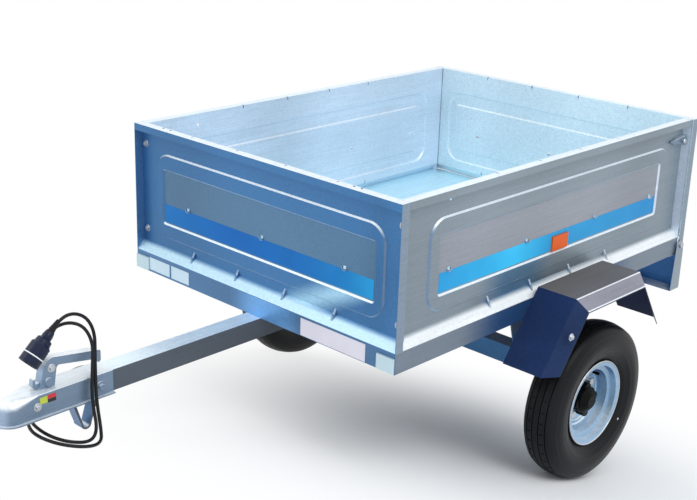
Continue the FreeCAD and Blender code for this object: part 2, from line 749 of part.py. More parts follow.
def make_mudguard(side, sign):
    """Folded from one sheet: sloped front and rear flaps, a flat top, and a chamfered outer edge."""
    body = new_body("mudguard_" + side)
    low, high = (HALF + "+seam", GUARD_Y) if sign > 0 else ("-" + GUARD_Y, "-%s-seam" % HALF)
    shell = pad(body, "XZ_Plane", low, high, outline([
        ("-guard_front_foot", "guard_front_low"), ("-guard_front", "guard_top"),
        ("-guard_rear", "guard_top"), ("-guard_rear_foot", "guard_rear_low")]))
    doc.recompute()
    out = sign * value(GUARD_Y)
    rear_foot = FreeCAD.Vector(-value("guard_rear_foot"), out, value("guard_rear_low"))
    front_foot = FreeCAD.Vector(-value("guard_front_foot"), out, value("guard_front_low"))

    def outer_edge(edge):
        ends = [vertex.Point for vertex in edge.Vertexes]
        on_face = all(abs(point.y - out) < 0.01 for point in ends)
        feet = [point for point in ends
                if point.distanceToPoint(rear_foot) < 0.01 or point.distanceToPoint(front_foot) < 0.01]
        return on_face and len(feet) < 2

    names = ["Edge%d" % (number + 1) for number, edge in enumerate(shell.Shape.Edges) if outer_edge(edge)]
    chamfer = body.newObject("PartDesign::Chamfer", "Chamfer")
    chamfer.Base = (shell, names)
    chamfer.setExpression("Size", fx("guard_chamfer"))
    doc.recompute()

    def open_face(face):
        normal = face.normalAt(0, 0)
        low_face = normal.z < -0.5 and face.Area > value("guard_chamfer") * 100
        return abs(normal.y) > 0.99 or low_face

    names = ["Face%d" % (number + 1) for number, face in enumerate(chamfer.Shape.Faces) if open_face(face)]
    sheet = body.newObject("PartDesign::Thickness", "Thickness")
    sheet.Base = (chamfer, names)
    sheet.setExpression("Value", fx("guard_steel"))
    sheet.Reversed = True
    sheet.Join = 1
    doc.recompute()
    inner, outer = HALF + "+seam", HALF + "+seam+guard_steel"
    low, high = (inner, outer) if sign > 0 else ("-(%s)" % outer, "-(%s)" % inner)
    pad(body, "XZ_Plane", low, high, rectangle(
        "-guard_rear+10", "-guard_front-10", RAIL_LOW + "+6", "guard_top"))


def make_light_panel():
    """The fixed pan below the tailgate that carries the rear lamps."""
    body = new_body("light_panel")
    reach = "(%s+light_side)" % HALF
    rear = "(-box_length-light_back)"
    pad(body, "XZ_Plane", "-" + reach, reach, rectangle(rear + "-sheet", rear, "light_low", "light_high"))
    pad(body, "XZ_Plane", "-" + reach, reach, rectangle(
        rear, rear + "+light_back+light_front", "light_low", "light_low+sheet"))
    cheek = outline([
        (rear + "-sheet", "light_low"), (rear + "+light_back+light_front", "light_low"),
        (PIVOT_X + "+lug_radius+4", PIVOT_Z + "+6"), (PIVOT_X, PIVOT_Z + "+lug_radius"),
        (PIVOT_X + "-lug_radius", PIVOT_Z), (rear + "-sheet", "light_high")])
    for low, high in ((reach, reach + "+sheet"), ("-%s-sheet" % reach, "-" + reach)):
        pad(body, "XZ_Plane", low, high, cheek)
        cut(body, "XZ_Plane", low + "-1", high + "+1", circles((PIVOT_X, PIVOT_Z, "pivot_radius+seam")))
    pad(body, "XZ_Plane", "-" + HALF, HALF, rectangle(
        rear, "-box_length+rail_flange", "light_high-sheet", "light_high"))
    for side, sign in SIDES:
        lamp = new_body("rear_lamp_" + side)
        near, far = "(%s-lamp_inset-lamp_wide)" % HALF, "(%s-lamp_inset)" % HALF
        low, high = (near, far) if sign > 0 else ("-" + far, "-" + near)
        middle = "(light_low+light_high)/2"
        pad(lamp, "XZ_Plane", low, high, rectangle(
            rear + "-sheet-lamp_deep", rear + "-sheet", middle + "-lamp_high/2", middle + "+lamp_high/2"))


def make_pivots():
    for side, sign in SIDES:
        bolt = new_body("tailgate_pivot_" + side)
        head, tip = "(%s+light_side+sheet)" % HALF, "(%s-12)" % HALF
        low, high = (tip, head) if sign > 0 else ("-" + head, "-" + tip)
        pad(bolt, "XZ_Plane", low, high, circles((PIVOT_X, PIVOT_Z, "pivot_radius")))
        far = head + "+5"
        low, high = (head, far) if sign > 0 else ("-(%s)" % far, "-" + head)
        pad(bolt, "XZ_Plane", low, high, circles((PIVOT_X, PIVOT_Z, "pivot_radius*1.7")))


def make_wheel(side):
    tyre = new_body("tyre_" + side)
    shoulder, foot = "(tyre_radius-tread_crown)", "(rim_seat+seam)"
    bead, bead_top = "(rim_width/2-seam)", "(rim_edge+bead_clear)"
    crown = "(((tread_width/2)^2+tread_crown^2)/(2*tread_crown))"
    chord = "((tread_width/2-%s)^2+(%s-%s)^2)" % (bead, shoulder, bead_top)
    bulge = "(tyre_width/2-(tread_width/2+%s)/2)" % bead
    wall = "((%s/4+%s^2)/(2*%s))" % (chord, bulge, bulge)
    turn(tyre, [
        ("-" + bead, foot), (bead, foot), (bead, bead_top, wall), ("tread_width/2", shoulder, crown),
        ("-tread_width/2", shoulder, wall), ("-" + bead, bead_top)])
    rim = new_body("rim_" + side)
    lip, seat, well = "(rim_width/2+3)", "rim_width/2", "(rim_width/4)"
    turn(rim, [
        ("-" + lip, "rim_edge"), ("-" + seat, "rim_seat"),
        ("-%s-3" % well, "rim_seat-2"), ("-" + well, "rim_drop"),
        (well, "rim_drop"), (well + "+3", "rim_seat-2"), (seat, "rim_seat"), (lip, "rim_edge"),
        (lip + "+rim_steel", "rim_edge"), (seat + "+rim_steel", "rim_seat-rim_steel"),
        (well + "+3+rim_steel*0.5", "rim_seat-2-rim_steel"), (well + "+rim_steel*0.5", "rim_drop-rim_steel"),
        ("-%s-rim_steel*0.5" % well, "rim_drop-rim_steel"),
        ("-%s-3-rim_steel*0.5" % well, "rim_seat-2-rim_steel"),
        ("-%s-rim_steel" % seat, "rim_seat-rim_steel"), ("-%s-rim_steel" % lip, "rim_edge")])
    back, front = "-disc_back", "(-disc_back+rim_steel)"
    disc_faces = []
    for face in (back, front):
        disc_faces.append([(face, "hub_barrel+seam")])
        for ring in ("ridge_inner", "ridge_inner+ridge_pitch"):
            disc_faces[-1] += [
                (face, ring), (face + "+ridge_rise", ring + "+ridge_rise"),
                (face + "+ridge_rise", ring + "+2*ridge_rise"), (face, ring + "+3*ridge_rise")]
        disc_faces[-1].append((face, "rim_drop-rim_steel/2"))
    turn(rim, disc_faces[0] + disc_faces[1][::-1])
    cut(rim, "XZ_Plane", "-disc_back-1", "-disc_back+rim_steel+1", circles(*[
        ("(%d)*%s" % (across, STUD), "(%d)*%s" % (up, STUD), "stud_hole")
        for across in (-1, 1) for up in (-1, 1)]))
    hub = new_body("hub_" + side)
    bore = "(stub_radius+running_gap)"
    inner = "-hub_inner"
    turn(hub, [
        (inner, bore), (inner, "hub_barrel-3"),
        ("-disc_back-9", "hub_barrel-3"), ("-disc_back-9", "hub_flange"),
        ("-disc_back-seam", "hub_flange"), ("-disc_back-seam", "hub_barrel"),
        ("hub_out", "hub_barrel-3"), ("hub_out", bore)])
    cap = new_body("hub_cap_" + side)
    turn(cap, [
        (front + "+seam", "hub_barrel+seam"), (front + "+seam", "cap_round"), ("hub_out-2", "cap_round"),
        ("hub_out+3", "cap_round-7"), ("hub_out+8", "hub_barrel-6"),
        ("hub_out+12", "hub_barrel-12"), ("hub_out+12", "0"), ("hub_out", "0"),
        ("hub_out", "hub_barrel+seam")])
    neck = "(cap_reach-cap_lobe)"
    lobe_root = "(hub_barrel+seam+1)"
    for turn_over in (False, True):
        for sign in (-1, 1):
            reach = ["(%d)*%s" % (sign, length) for length in (lobe_root, neck, "cap_reach")]
            bulge = "(%d)*cap_lobe" % (sign if not turn_over else -sign)
            lobe = [
                (reach[0], "-cap_lobe"), (reach[1], "-cap_lobe", bulge), (reach[2], "0", bulge),
                (reach[1], "cap_lobe"), (reach[0], "cap_lobe")]
            if turn_over:
                lobe = [(corner[1], corner[0]) + corner[2:] for corner in lobe]
            pad(cap, "XZ_Plane", front + "+seam", "hub_out-4", outline(lobe))
    return [tyre, rim, hub, cap]


def make_catch(side, sign):
    """An over-centre catch on the wall's skin; its bolt passes the slot in the wall's rear closure."""
    body = new_body("tailgate_catch_" + side)
    rear = "(-box_length+sheet+seam)"

    def layer(near, far, shape):
        low, high = SKIN + "+" + near, SKIN + "+" + far
        if sign < 0:
            low, high = "-(%s)" % high, "-(%s)" % low
        pad(body, "XZ_Plane", low, high, shape)

    half = "catch_wide/2"
    layer("0", "sheet*2", rectangle(
        rear, rear + "+catch_long*0.7", CATCH_Z + "-" + half, CATCH_Z + "+" + half))
    layer("sheet*2", "catch_deep", outline([
        (rear + "+6", CATCH_Z + "-" + half), (rear + "+catch_long", CATCH_Z + "-3"),
        (rear + "+catch_long", CATCH_Z + "+3"), (rear + "+6", CATCH_Z + "+" + half)]))
    layer("sheet*2", "catch_deep*0.6", rectangle(
        "-box_length", rear + "+7", CATCH_Z + "-catch_wide/4", CATCH_Z + "+catch_wide/4"))


def make_reflectors(side, sign):
    front = new_body("front_reflector_" + side)
    near, far = "(%s-front_reflector_wide-2)" % HALF, "(%s-2)" % HALF
    low, high = (near, far) if sign > 0 else ("-" + far, "-" + near)
    pad(front, "XZ_Plane", low, high, rectangle(
        "0", "reflector_deep", RAIL_LOW + "+2", RAIL_LOW + "+2+front_reflector_high"))
    amber = new_body("side_reflector_" + side)
    low, high = SKIN, "(%s+reflector_deep)" % SKIN
    if sign < 0:
        low, high = "-" + high, "-" + low
    pad(amber, "XZ_Plane", low, high, rectangle(
        MIDDLE + "-side_reflector_aft", MIDDLE + "-side_reflector_aft+side_reflector_wide",
        FIELD_LOW + "+side_reflector_clear", FIELD_LOW + "+side_reflector_clear+side_reflector_high"))


def make_gland():
    """The grommet on the drawbar's far side, where the light cable leaves the bar."""
    body = new_body("cable_gland")
    seat = "-bar_size/2"
    pad(body, "XZ_Plane", seat + "-gland_long", seat,
        circles(("gland_place", BAR_LOW + "+bar_size/2", "gland_radius")))


# The light cable's route, in the towing frame, chosen by hand: out of the bar on the far side, round under
# the coupling and over the lever twice, and over the top to the plug. It lies on the parking ground below.
CABLE_ROUTE = [
    (424, -72, 439), (452, -107, 424), (512, -106, 397), (564, -88, 379), (604, -46, 379), (622, 8, 384),
    (622, 62, 383), (598, 98, 375), (552, 106, 362), (514, 76, 366), (505, 49, 411), (505, 48, 457),
    (494, 38, 501), (480, 22, 542), (492, 6, 580), (524, -14, 590), (551, -38, 566), (557, -60, 524),
    (557, -66, 472), (574, -68, 424), (606, -46, 387), (636, 2, 387), (648, 54, 390), (628, 106, 384),
    (578, 128, 368), (530, 112, 354), (501, 70, 361), (496, 51, 413), (494, 46, 465), (480, 28, 514),
    (465, 8, 556), (478, 0, 592), (512, 0, 612), (545, 0, 607), (569, 0, 584)]


def cable_path(points):
    """Straight runs joined by tangent arcs, each as large as its two runs allow."""
    edges = []
    radii = []
    start = points[0]
    for before, corner, after in zip(points, points[1:], points[2:]):
        back, ahead = before - corner, after - corner
        tangent = 0.45 * min(back.Length, ahead.Length)
        half_turn = (math.pi - back.getAngle(ahead)) / 2
        radii.append(tangent / math.tan(half_turn))
        back, ahead = back.normalize(), ahead.normalize()
        arc_start, arc_end = corner + back * tangent, corner + ahead * tangent
        inward = (back + ahead).normalize()
        depth = radii[-1] / math.cos(half_turn) - radii[-1]
        edges.append(Part.LineSegment(start, arc_start).toShape())
        edges.append(Part.Arc(arc_start, corner + inward * depth, arc_end).toShape())
        start = arc_end
    edges.append(Part.LineSegment(start, points[-1]).toShape())
    return Part.Wire(edges), radii


def make_cable():
    exit_point = (
        value("gland_place"), value("-bar_size/2-gland_long"), value(BAR_LOW + "+bar_size/2"))
    points = [FreeCAD.Vector(*point) for point in [exit_point] + CABLE_ROUTE]
    path, radii = cable_path(points)
    radius = value("cable_diameter/2")
    section = Part.Wire(Part.makeCircle(radius, points[0], points[1] - points[0]))
    sweep = Part.BRepOffsetAPI.MakePipeShell(path)
    sweep.add(section)
    sweep.build()
    sweep.makeSolid()
    tube = sweep.shape()
    expected = math.pi * radius ** 2 * path.Length
    if abs(tube.Volume / expected - 1) > 0.01:
        raise RuntimeError("The cable's volume is not its section times its length")
    print("cable length %.0f mm, arc radii %s" % (path.Length, " ".join("%.0f" % r for r in radii)))
    cable = doc.addObject("Part::Feature", "light_cable")
    cable.Label = "light_cable"
    cable.Shape = tube
    parts.append(cable)
    return points[-1], (points[-1] - points[-2]).normalize()


def make_plug():
    """The round seven pole plug on the cable's end, turned about its own Y axis, with an open mouth."""
    body = new_body("cable_plug")
    turn(body, [
        ("0", "0"), ("0", "plug_radius*0.42"), ("plug_long*0.12", "plug_radius*0.5"),
        ("plug_long*0.2", "plug_radius*0.5"), ("plug_long*0.24", "plug_radius*0.72"),
        ("plug_long*0.36", "plug_radius*0.78"), ("plug_long*0.42", "plug_radius*0.96"),
        ("plug_long", "plug_radius"), ("plug_long", "plug_radius-plug_wall"),
        ("plug_long-plug_mouth", "plug_radius-plug_wall"), ("plug_long-plug_mouth", "plug_radius*0.62"),
        ("plug_long-3", "plug_radius*0.6"), ("plug_long-3", "0")])
    return body


def park_angle():
    """How far the trailer tips nose down about its axle until the skid's round foot meets the ground."""
    across = value("skid_centre+wheel_centre")
    above = value(BAR_LOW + "-skid_drop+skid_radius-tyre_radius")
    reach = math.hypot(across, above)
    rise = math.asin(value("skid_radius-tyre_radius") / reach)
    return math.degrees(math.atan2(above, across) - rise)


def park(objects):
    """Tips the finished trailer nose down about its axle, and brings its middle over the origin."""
    tilt = FreeCAD.Rotation(FreeCAD.Vector(0, 1, 0), park_angle())
    axle = FreeCAD.Vector(-value("wheel_centre"), 0, value("tyre_radius"))
    tip = FreeCAD.Placement(FreeCAD.Vector(), tilt, axle)
    for item in objects:
        item.Placement = tip.multiply(item.Placement)
    doc.recompute()
    solid = [item.Shape.optimalBoundingBox() for item in objects if item.Label not in CABLE_PARTS]
    middle = (min(box.XMin for box in solid) + max(box.XMax for box in solid)) / 2
    shift = FreeCAD.Placement(FreeCAD.Vector(-middle, 0, 0), FreeCAD.Rotation())
    for item in objects:
        item.Placement = shift.multiply(item.Placement)
    return shift.multiply(tip)


CABLE_PARTS = ("light_cable", "cable_plug", "cable_gland")

make_front_panel()
make_tailgate()
make_floor()
make_rails()
make_drawbar()
make_coupling()
make_skid()
make_lever()
make_axle()
make_light_panel()
make_pivots()
make_gland()
for side, sign in SIDES:
    make_side_panel(side, sign)
    make_mudguard(side, sign)
    make_catch(side, sign)
    make_reflectors(side, sign)
    centre = FreeCAD.Vector(-value("wheel_centre"), sign * value(WHEEL_Y), value("tyre_radius"))
    facing = FreeCAD.Rotation(FreeCAD.Vector(0, 0, 1), 0 if sign > 0 else 180)
    for piece in make_wheel(side):
        piece.Placement = FreeCAD.Placement(centre, facing)
cable_end, cable_way = make_cable()
make_plug().Placement = FreeCAD.Placement(cable_end, FreeCAD.Rotation(FreeCAD.Vector(0, 1, 0), cable_way))
doc.recompute()
parked = park(parts)
doc.recompute()
print("parked at %.3f degrees, moved by %s" % (park_angle(), parked.Base))

for item in doc.Objects:
    if "Invalid" in item.State or "Error" in item.State:
        raise RuntimeError("%s is in state %s" % (item.Name, item.State))
for item in parts:
    if item.Shape.isNull() or not item.Shape.isValid() or len(item.Shape.Solids) != 1:
        raise RuntimeError("%s is not one valid solid" % item.Label)
os.makedirs("parts", exist_ok=True)
for item in parts:
    item.Shape.exportStep("parts/%s.step" % item.Label)
print("%d pieces written" % len(parts))
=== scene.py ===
# %% [markdown]
# A small galvanised box trailer, dressed for its picture.
#
# The steel itself, its folds, rails, wheels and hinges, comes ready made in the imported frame. This lesson
# adds what makes it look real: the zinc finish, the light cable and its boots, tyres with their ribs, bolts,
# stripes, plates and lamps. It goes step by step, as one would do it by hand.

import bpy
import json
import math
from mathutils import Matrix, Vector


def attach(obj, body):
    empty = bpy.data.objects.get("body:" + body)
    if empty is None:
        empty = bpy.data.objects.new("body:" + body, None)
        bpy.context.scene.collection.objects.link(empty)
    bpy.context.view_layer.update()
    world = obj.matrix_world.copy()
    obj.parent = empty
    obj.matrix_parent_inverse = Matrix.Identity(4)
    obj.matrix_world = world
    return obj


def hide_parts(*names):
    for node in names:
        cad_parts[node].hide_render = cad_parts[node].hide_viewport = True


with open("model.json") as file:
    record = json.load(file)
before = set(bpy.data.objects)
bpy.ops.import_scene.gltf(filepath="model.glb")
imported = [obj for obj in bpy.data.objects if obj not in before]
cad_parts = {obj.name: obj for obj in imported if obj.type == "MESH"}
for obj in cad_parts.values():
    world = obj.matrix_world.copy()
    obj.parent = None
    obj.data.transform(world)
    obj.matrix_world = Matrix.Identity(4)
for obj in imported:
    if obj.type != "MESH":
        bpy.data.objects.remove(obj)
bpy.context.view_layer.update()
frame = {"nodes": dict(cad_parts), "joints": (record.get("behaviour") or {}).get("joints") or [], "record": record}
NODES = frame["nodes"]
SIDES = (("left", 1), ("right", -1))

# %% [markdown]
# The trailer is parked nose down on its skid, so nothing on it is square to the world. A bolt could be
# placed on the tilted wall directly, but its numbers would be odd ones that nobody can check. So every new
# piece is made on the level trailer, as it is towed, and then tipped into place by one matrix. The tilt is
# read from the load floor's mount, and the turning point is the axle.

# %% The towing frame
WHEEL_BEHIND = 0.668
floor_mount = [mount for mount in frame["record"]["mounts"] if mount["name"] == "load_floor"][0]
axle = Vector([joint for joint in frame["joints"] if joint["name"] == "wheel_left_spin"][0]["pos_m"])
TILT = math.atan2(floor_mount["axis"][0], floor_mount["axis"][2])
PARK = (Matrix.Translation(axle) @ Matrix.Rotation(TILT, 4, "Y")
        @ Matrix.Translation(-Vector((-WHEEL_BEHIND, axle.y, axle.z))))
LEVEL = PARK.inverted()


def level_box(node):
    """Lowest and highest corner of a piece of the frame, measured on the level trailer."""
    corners = [LEVEL @ vertex.co for vertex in NODES[node].data.vertices]
    return [Vector([pick(corner[axis] for corner in corners) for axis in range(3)]) for pick in (min, max)]


print("tilt", round(math.degrees(TILT), 3), "degrees, walls", round(level_box("side_panel_left")[1].z, 4),
      "m high when level")

# %% [markdown]
# The camera comes first, because everything else is judged through it. It looks down on the trailer's
# front left corner with a longish lens. One could turn it by eye until it fits, but the box's straight edges
# fix it better: the viewpoint was worked out from them on the level trailer. So it is tipped with the
# trailer, and the picture stays the same.

# %% Camera
EYE = (1.8765, 2.0733, 1.6273)
YAW, PITCH, ROLL = 3.89616859, -0.340236607, 0.0337876463
FOCAL_PIXELS, PICTURE_WIDTH = 1240.82, 697


def put(name, data):
    """A new object for some data, linked into the scene."""
    thing = bpy.data.objects.new(name, data)
    bpy.context.scene.collection.objects.link(thing)
    return thing


ahead = Vector((math.cos(PITCH) * math.cos(YAW), math.cos(PITCH) * math.sin(YAW), math.sin(PITCH)))
level_right = ahead.cross(Vector((0, 0, 1))).normalized()
level_up = level_right.cross(ahead)
right = level_right * math.cos(ROLL) + level_up * math.sin(ROLL)
above = level_up * math.cos(ROLL) - level_right * math.sin(ROLL)
camera_data = bpy.data.cameras.new("camera")
camera_data.lens = FOCAL_PIXELS / PICTURE_WIDTH * camera_data.sensor_width
camera_data.clip_end = 200
camera = put("camera", camera_data)
camera.matrix_world = PARK @ (Matrix.Translation(EYE) @ Matrix((right, above, -ahead)).transposed().to_4x4())
bpy.context.scene.camera = camera
print("camera at", [round(c, 3) for c in camera.matrix_world.translation], "lens", round(camera_data.lens, 1))

# %% [markdown]
# A material is a tree of nodes, which one lays out with the mouse in the shader editor. In a script each
# node takes several lines. These helpers make it one line a node: add one, join two, do a sum, make a soft
# mask, and mix two colours.

# %% Helpers for nodes
def wire(tree, source, socket):
    """Joins a socket to another one, or sets it to a plain value."""
    if isinstance(source, bpy.types.NodeSocket):
        tree.links.new(source, socket)
    else:
        socket.default_value = source


def add_node(tree, kind, inputs=None, **settings):
    """One node with its settings; its inputs are wired by name or number."""
    node = tree.nodes.new(kind)
    for name, setting in settings.items():
        setattr(node, name, setting)
    for name, source in (inputs or {}).items():
        wire(tree, source, node.inputs[name])
    return node


def calculate(tree, operation, first, second):
    """One sum of two numbers that change over the surface."""
    return add_node(tree, "ShaderNodeMath", {0: first, 1: second}, operation=operation).outputs[0]


def fade(tree, source, start, end, low=0.0, high=1.0):
    """A smooth change from low to high while the source goes from start to end."""
    return add_node(tree, "ShaderNodeMapRange", {
        "Value": source, "From Min": start, "From Max": end, "To Min": low, "To Max": high},
        interpolation_type="SMOOTHSTEP").outputs[0]


def mix_colours(tree, factor, first, second, blend_type="MIX"):
    """Mixes two colours and gives the result's socket."""
    node = add_node(tree, "ShaderNodeMix", data_type="RGBA", blend_type=blend_type)
    for number, source in ((0, factor), (6, first), (7, second)):
        wire(tree, source, node.inputs[number])
    return node.outputs[2]


print("helpers:", [helper.__name__ for helper in (wire, add_node, calculate, fade, mix_colours)])

# %% [markdown]
# Bare galvanised sheet is a mirror that has gone soft: the ends of the box take the blue of the sky, its
# sides a neutral grey, and what lies flat turns almost white. A yard and a sky could be built for it to
# mirror, but they would slide over the steel as the camera moves. So a group of nodes paints these
# reflections into the colour, with painted light on what looks up and painted shade on what looks down, by
# the surface's own normal on the level trailer, and the colours stay put from every side.

# %% Group: which way the sheet faces
def new_group(name, inputs, outputs):
    """An empty node group with named sockets, and its two end nodes."""
    group = bpy.data.node_groups.new(name, "ShaderNodeTree")
    for direction, sockets in (("INPUT", inputs), ("OUTPUT", outputs)):
        for socket, kind in sockets.items():
            group.interface.new_socket(name=socket, in_out=direction, socket_type="NodeSocket" + kind)
    return group, group.nodes.new("NodeGroupInput").outputs, group.nodes.new("NodeGroupOutput").inputs


facing, given, result = new_group(
    "facing", {"Ends": "Color", "Sides": "Color", "Top": "Color", "Under": "Color"},
    {"Color": "Color", "Along": "Float", "Across": "Float", "Up": "Float"})
normal = add_node(facing, "ShaderNodeTexCoord").outputs["Normal"]
level_normal = add_node(facing, "ShaderNodeVectorRotate", {"Vector": normal, "Angle": -TILT},
                        rotation_type="Y_AXIS")
way = add_node(facing, "ShaderNodeSeparateXYZ", {0: level_normal.outputs[0]}).outputs
sideways = calculate(facing, "MULTIPLY", way["Y"], way["Y"])
# Painted reflection: blue ends and grey sides, then painted light on tops and painted shade underneath.
around = mix_colours(facing, fade(facing, sideways, 0.2, 0.8), given["Ends"], given["Sides"])
lit = mix_colours(facing, fade(facing, way["Z"], 0.25, 0.7), around, given["Top"])
tinted = mix_colours(facing, fade(facing, way["Z"], -0.3, -0.9), lit, given["Under"])
wire(facing, tinted, result["Color"])
for output, axis_name in (("Along", "X"), ("Across", "Y"), ("Up", "Z")):
    wire(facing, way[axis_name], result[output])
print("group", facing.name, "with", len(facing.nodes), "nodes")

# %% [markdown]
# Some tones belong to a certain part of the trailer, such as one panel's sunk field. The panel could be cut
# into parts with a material each, but its mesh is one folded sheet. It is simpler to ask where a point lies.
# So this group turns the object coordinates back about the axle, as the matrix above does for a mesh.

# %% Group: place on the level trailer
level_spot, given, result = new_group(
    "level_spot", {}, {"Place": "Vector", "Along": "Float", "Across": "Float", "Height": "Float"})
place = add_node(level_spot, "ShaderNodeTexCoord").outputs["Object"]
turned_back = add_node(level_spot, "ShaderNodeVectorRotate", {
    "Vector": place, "Center": axle, "Angle": -TILT}, rotation_type="Y_AXIS").outputs[0]
moved_back = add_node(level_spot, "ShaderNodeVectorMath", {
    0: turned_back, 1: Vector((-WHEEL_BEHIND - axle.x, 0, 0))}, operation="ADD").outputs[0]
wire(level_spot, moved_back, result["Place"])
spot = add_node(level_spot, "ShaderNodeSeparateXYZ", {0: moved_back}).outputs
for output, axis_name in (("Along", "X"), ("Across", "Y"), ("Height", "Z")):
    wire(level_spot, spot[axis_name], result[output])
print("group", level_spot.name, "with", len(level_spot.nodes), "nodes")

# %% [markdown]
# Seen close, zinc has three layers of pattern: crystals a few millimetres wide, called spangle, fine lines
# from the rolling mill, and wide soft patches, a random tone that is also painted reflection, because no
# sheet is quite flat and so it mirrors its surroundings unevenly. They could be painted as a picture, but a
# pattern made in the material has no seams and fits every piece. The same group gives the sheet's roughness
# and a height for its bump.

# %% Group: the zinc's own pattern
SPANGLE_SCALE, LINE_SCALE, PATCH_SCALE = 210, (6, 90, 240), (2.0, 2.4, 5.0)


def use_group(tree, group, inputs):
    """Places a group in a material, wires its inputs and gives its outputs."""
    node = add_node(tree, "ShaderNodeGroup", node_tree=group)
    for name, source in inputs.items():
        wire(tree, source, node.inputs[name])
    return node.outputs


def grey(tree, level):
    """A grey of a level that changes over the surface."""
    return add_node(tree, "ShaderNodeCombineXYZ", {0: level, 1: level, 2: level}).outputs[0]


zinc_skin, given, result = new_group(
    "zinc_skin", {"Patches": "Float"}, {"Shade": "Color", "Roughness": "Float", "Height": "Float"})
level_place = use_group(zinc_skin, level_spot, {})["Place"]
crystals = add_node(zinc_skin, "ShaderNodeTexVoronoi", {"Vector": level_place, "Scale": SPANGLE_SCALE})
crystal_tone = add_node(zinc_skin, "ShaderNodeSeparateColor", {0: crystals.outputs["Color"]}).outputs[0]
rolled = add_node(zinc_skin, "ShaderNodeMapping", {"Vector": level_place, "Scale": LINE_SCALE}).outputs[0]
lines = add_node(zinc_skin, "ShaderNodeTexNoise", {"Vector": rolled, "Scale": 1.0, "Detail": 3}).outputs[0]
# The wide patches: a random tone that stands in for uneven reflection, so partly painted reflection.
wide = add_node(zinc_skin, "ShaderNodeMapping", {"Vector": level_place, "Scale": PATCH_SCALE}).outputs[0]
patches = add_node(zinc_skin, "ShaderNodeTexNoise", {
    "Vector": wide, "Scale": 1.0, "Detail": 2, "Distortion": 0.6}).outputs[0]
soft = fade(zinc_skin, patches, 0.35, 0.7, -1, 1)
tone = calculate(zinc_skin, "ADD", 1.0, calculate(zinc_skin, "MULTIPLY", soft, given["Patches"]))
tone = calculate(zinc_skin, "ADD", tone, fade(zinc_skin, crystal_tone, 0, 1, -0.04, 0.04))
tone = calculate(zinc_skin, "ADD", tone, fade(zinc_skin, lines, 0.3, 0.7, -0.04, 0.04))
wire(zinc_skin, grey(zinc_skin, tone), result["Shade"])
wire(zinc_skin, calculate(zinc_skin, "ADD", fade(zinc_skin, crystal_tone, 0, 1, 0.3, 0.4),
                          fade(zinc_skin, patches, 0.3, 0.7, 0.0, 0.08)), result["Roughness"])
wire(zinc_skin, calculate(zinc_skin, "ADD", calculate(zinc_skin, "MULTIPLY", lines, 0.7),
                          calculate(zinc_skin, "MULTIPLY", crystal_tone, 0.08)), result["Height"])
print("spangle about", round(1000 / SPANGLE_SCALE, 1), "mm wide")

# %% [markdown]
# A finish on the real trailer is a tone and a sheen, and the zinc's pattern lies over both. Each could be
# set with the mouse, but then it can't be compared with a paint chart, which counts from 0 to 255 as the eye
# sees it, while a shader counts light. These helpers turn a chart's colour into light, start a material,
# roughen it, lay the zinc over a tone, and make a whole zinc from four tints.

# %% Helpers for zinc
def srgb(red, green, blue):
    """A colour as a paint chart gives it, 0 to 255, turned into the light values that a shader takes."""
    levels = [channel / 255 for channel in (red, green, blue)]
    return [c / 12.92 if c <= 0.04045 else ((c + 0.055) / 1.055) ** 2.4 for c in levels] + [1.0]


def new_material(name, gloss=0.5, **sockets):
    """A material, its tree and its Principled shader, whose plain values are set by name."""
    material = bpy.data.materials.new(name)
    material.use_nodes = True
    shader = material.node_tree.nodes["Principled BSDF"]
    shader.inputs["Specular IOR Level"].default_value = gloss
    for socket, setting in sockets.items():
        shader.inputs[socket.replace("_", " ").title()].default_value = setting
    return material, material.node_tree, shader


def add_bump(tree, shader, height, distance, strength):
    """Roughens the surface's normal by a height, with the depth in metres."""
    bump = add_node(tree, "ShaderNodeBump", {"Height": height, "Distance": distance, "Strength": strength})
    tree.links.new(bump.outputs[0], shader.inputs["Normal"])


def finish_zinc(tree, shader, colour, patches):
    """Lays the zinc's pattern over a colour and joins it to the shader."""
    skin = use_group(tree, zinc_skin, {"Patches": patches})
    wire(tree, mix_colours(tree, 1.0, colour, skin["Shade"], "MULTIPLY"), shader.inputs["Base Color"])
    wire(tree, skin["Roughness"], shader.inputs["Roughness"])
    add_bump(tree, shader, skin["Height"], 0.0002, 0.18)


def zinc(name, ends, sides, top, under, metallic=0.45, patches=0.1):
    """Galvanised steel in four tints by the way that the surface faces: painted reflection, light and shade."""
    material, tree, shader = new_material(name, metallic=metallic)
    tints = use_group(tree, facing, {"Ends": ends, "Sides": sides, "Top": top, "Under": under})
    finish_zinc(tree, shader, tints["Color"], patches)
    return material


print("middle grey on the chart is", round(srgb(128, 128, 128)[0], 2), "of full light")

# %% [markdown]
# The trailer's parts differ a little in tone: the load floor, the bar, the pressings, the axle and the rims.
# One material could serve them all, but the eye would then see one moulded block. So each family of parts
# gets its own tints, for its ends, its sides, its top and what faces down. These tints are painted
# reflection and painted light: the sky's blue on the ends, a lit top near white and a shaded underside.

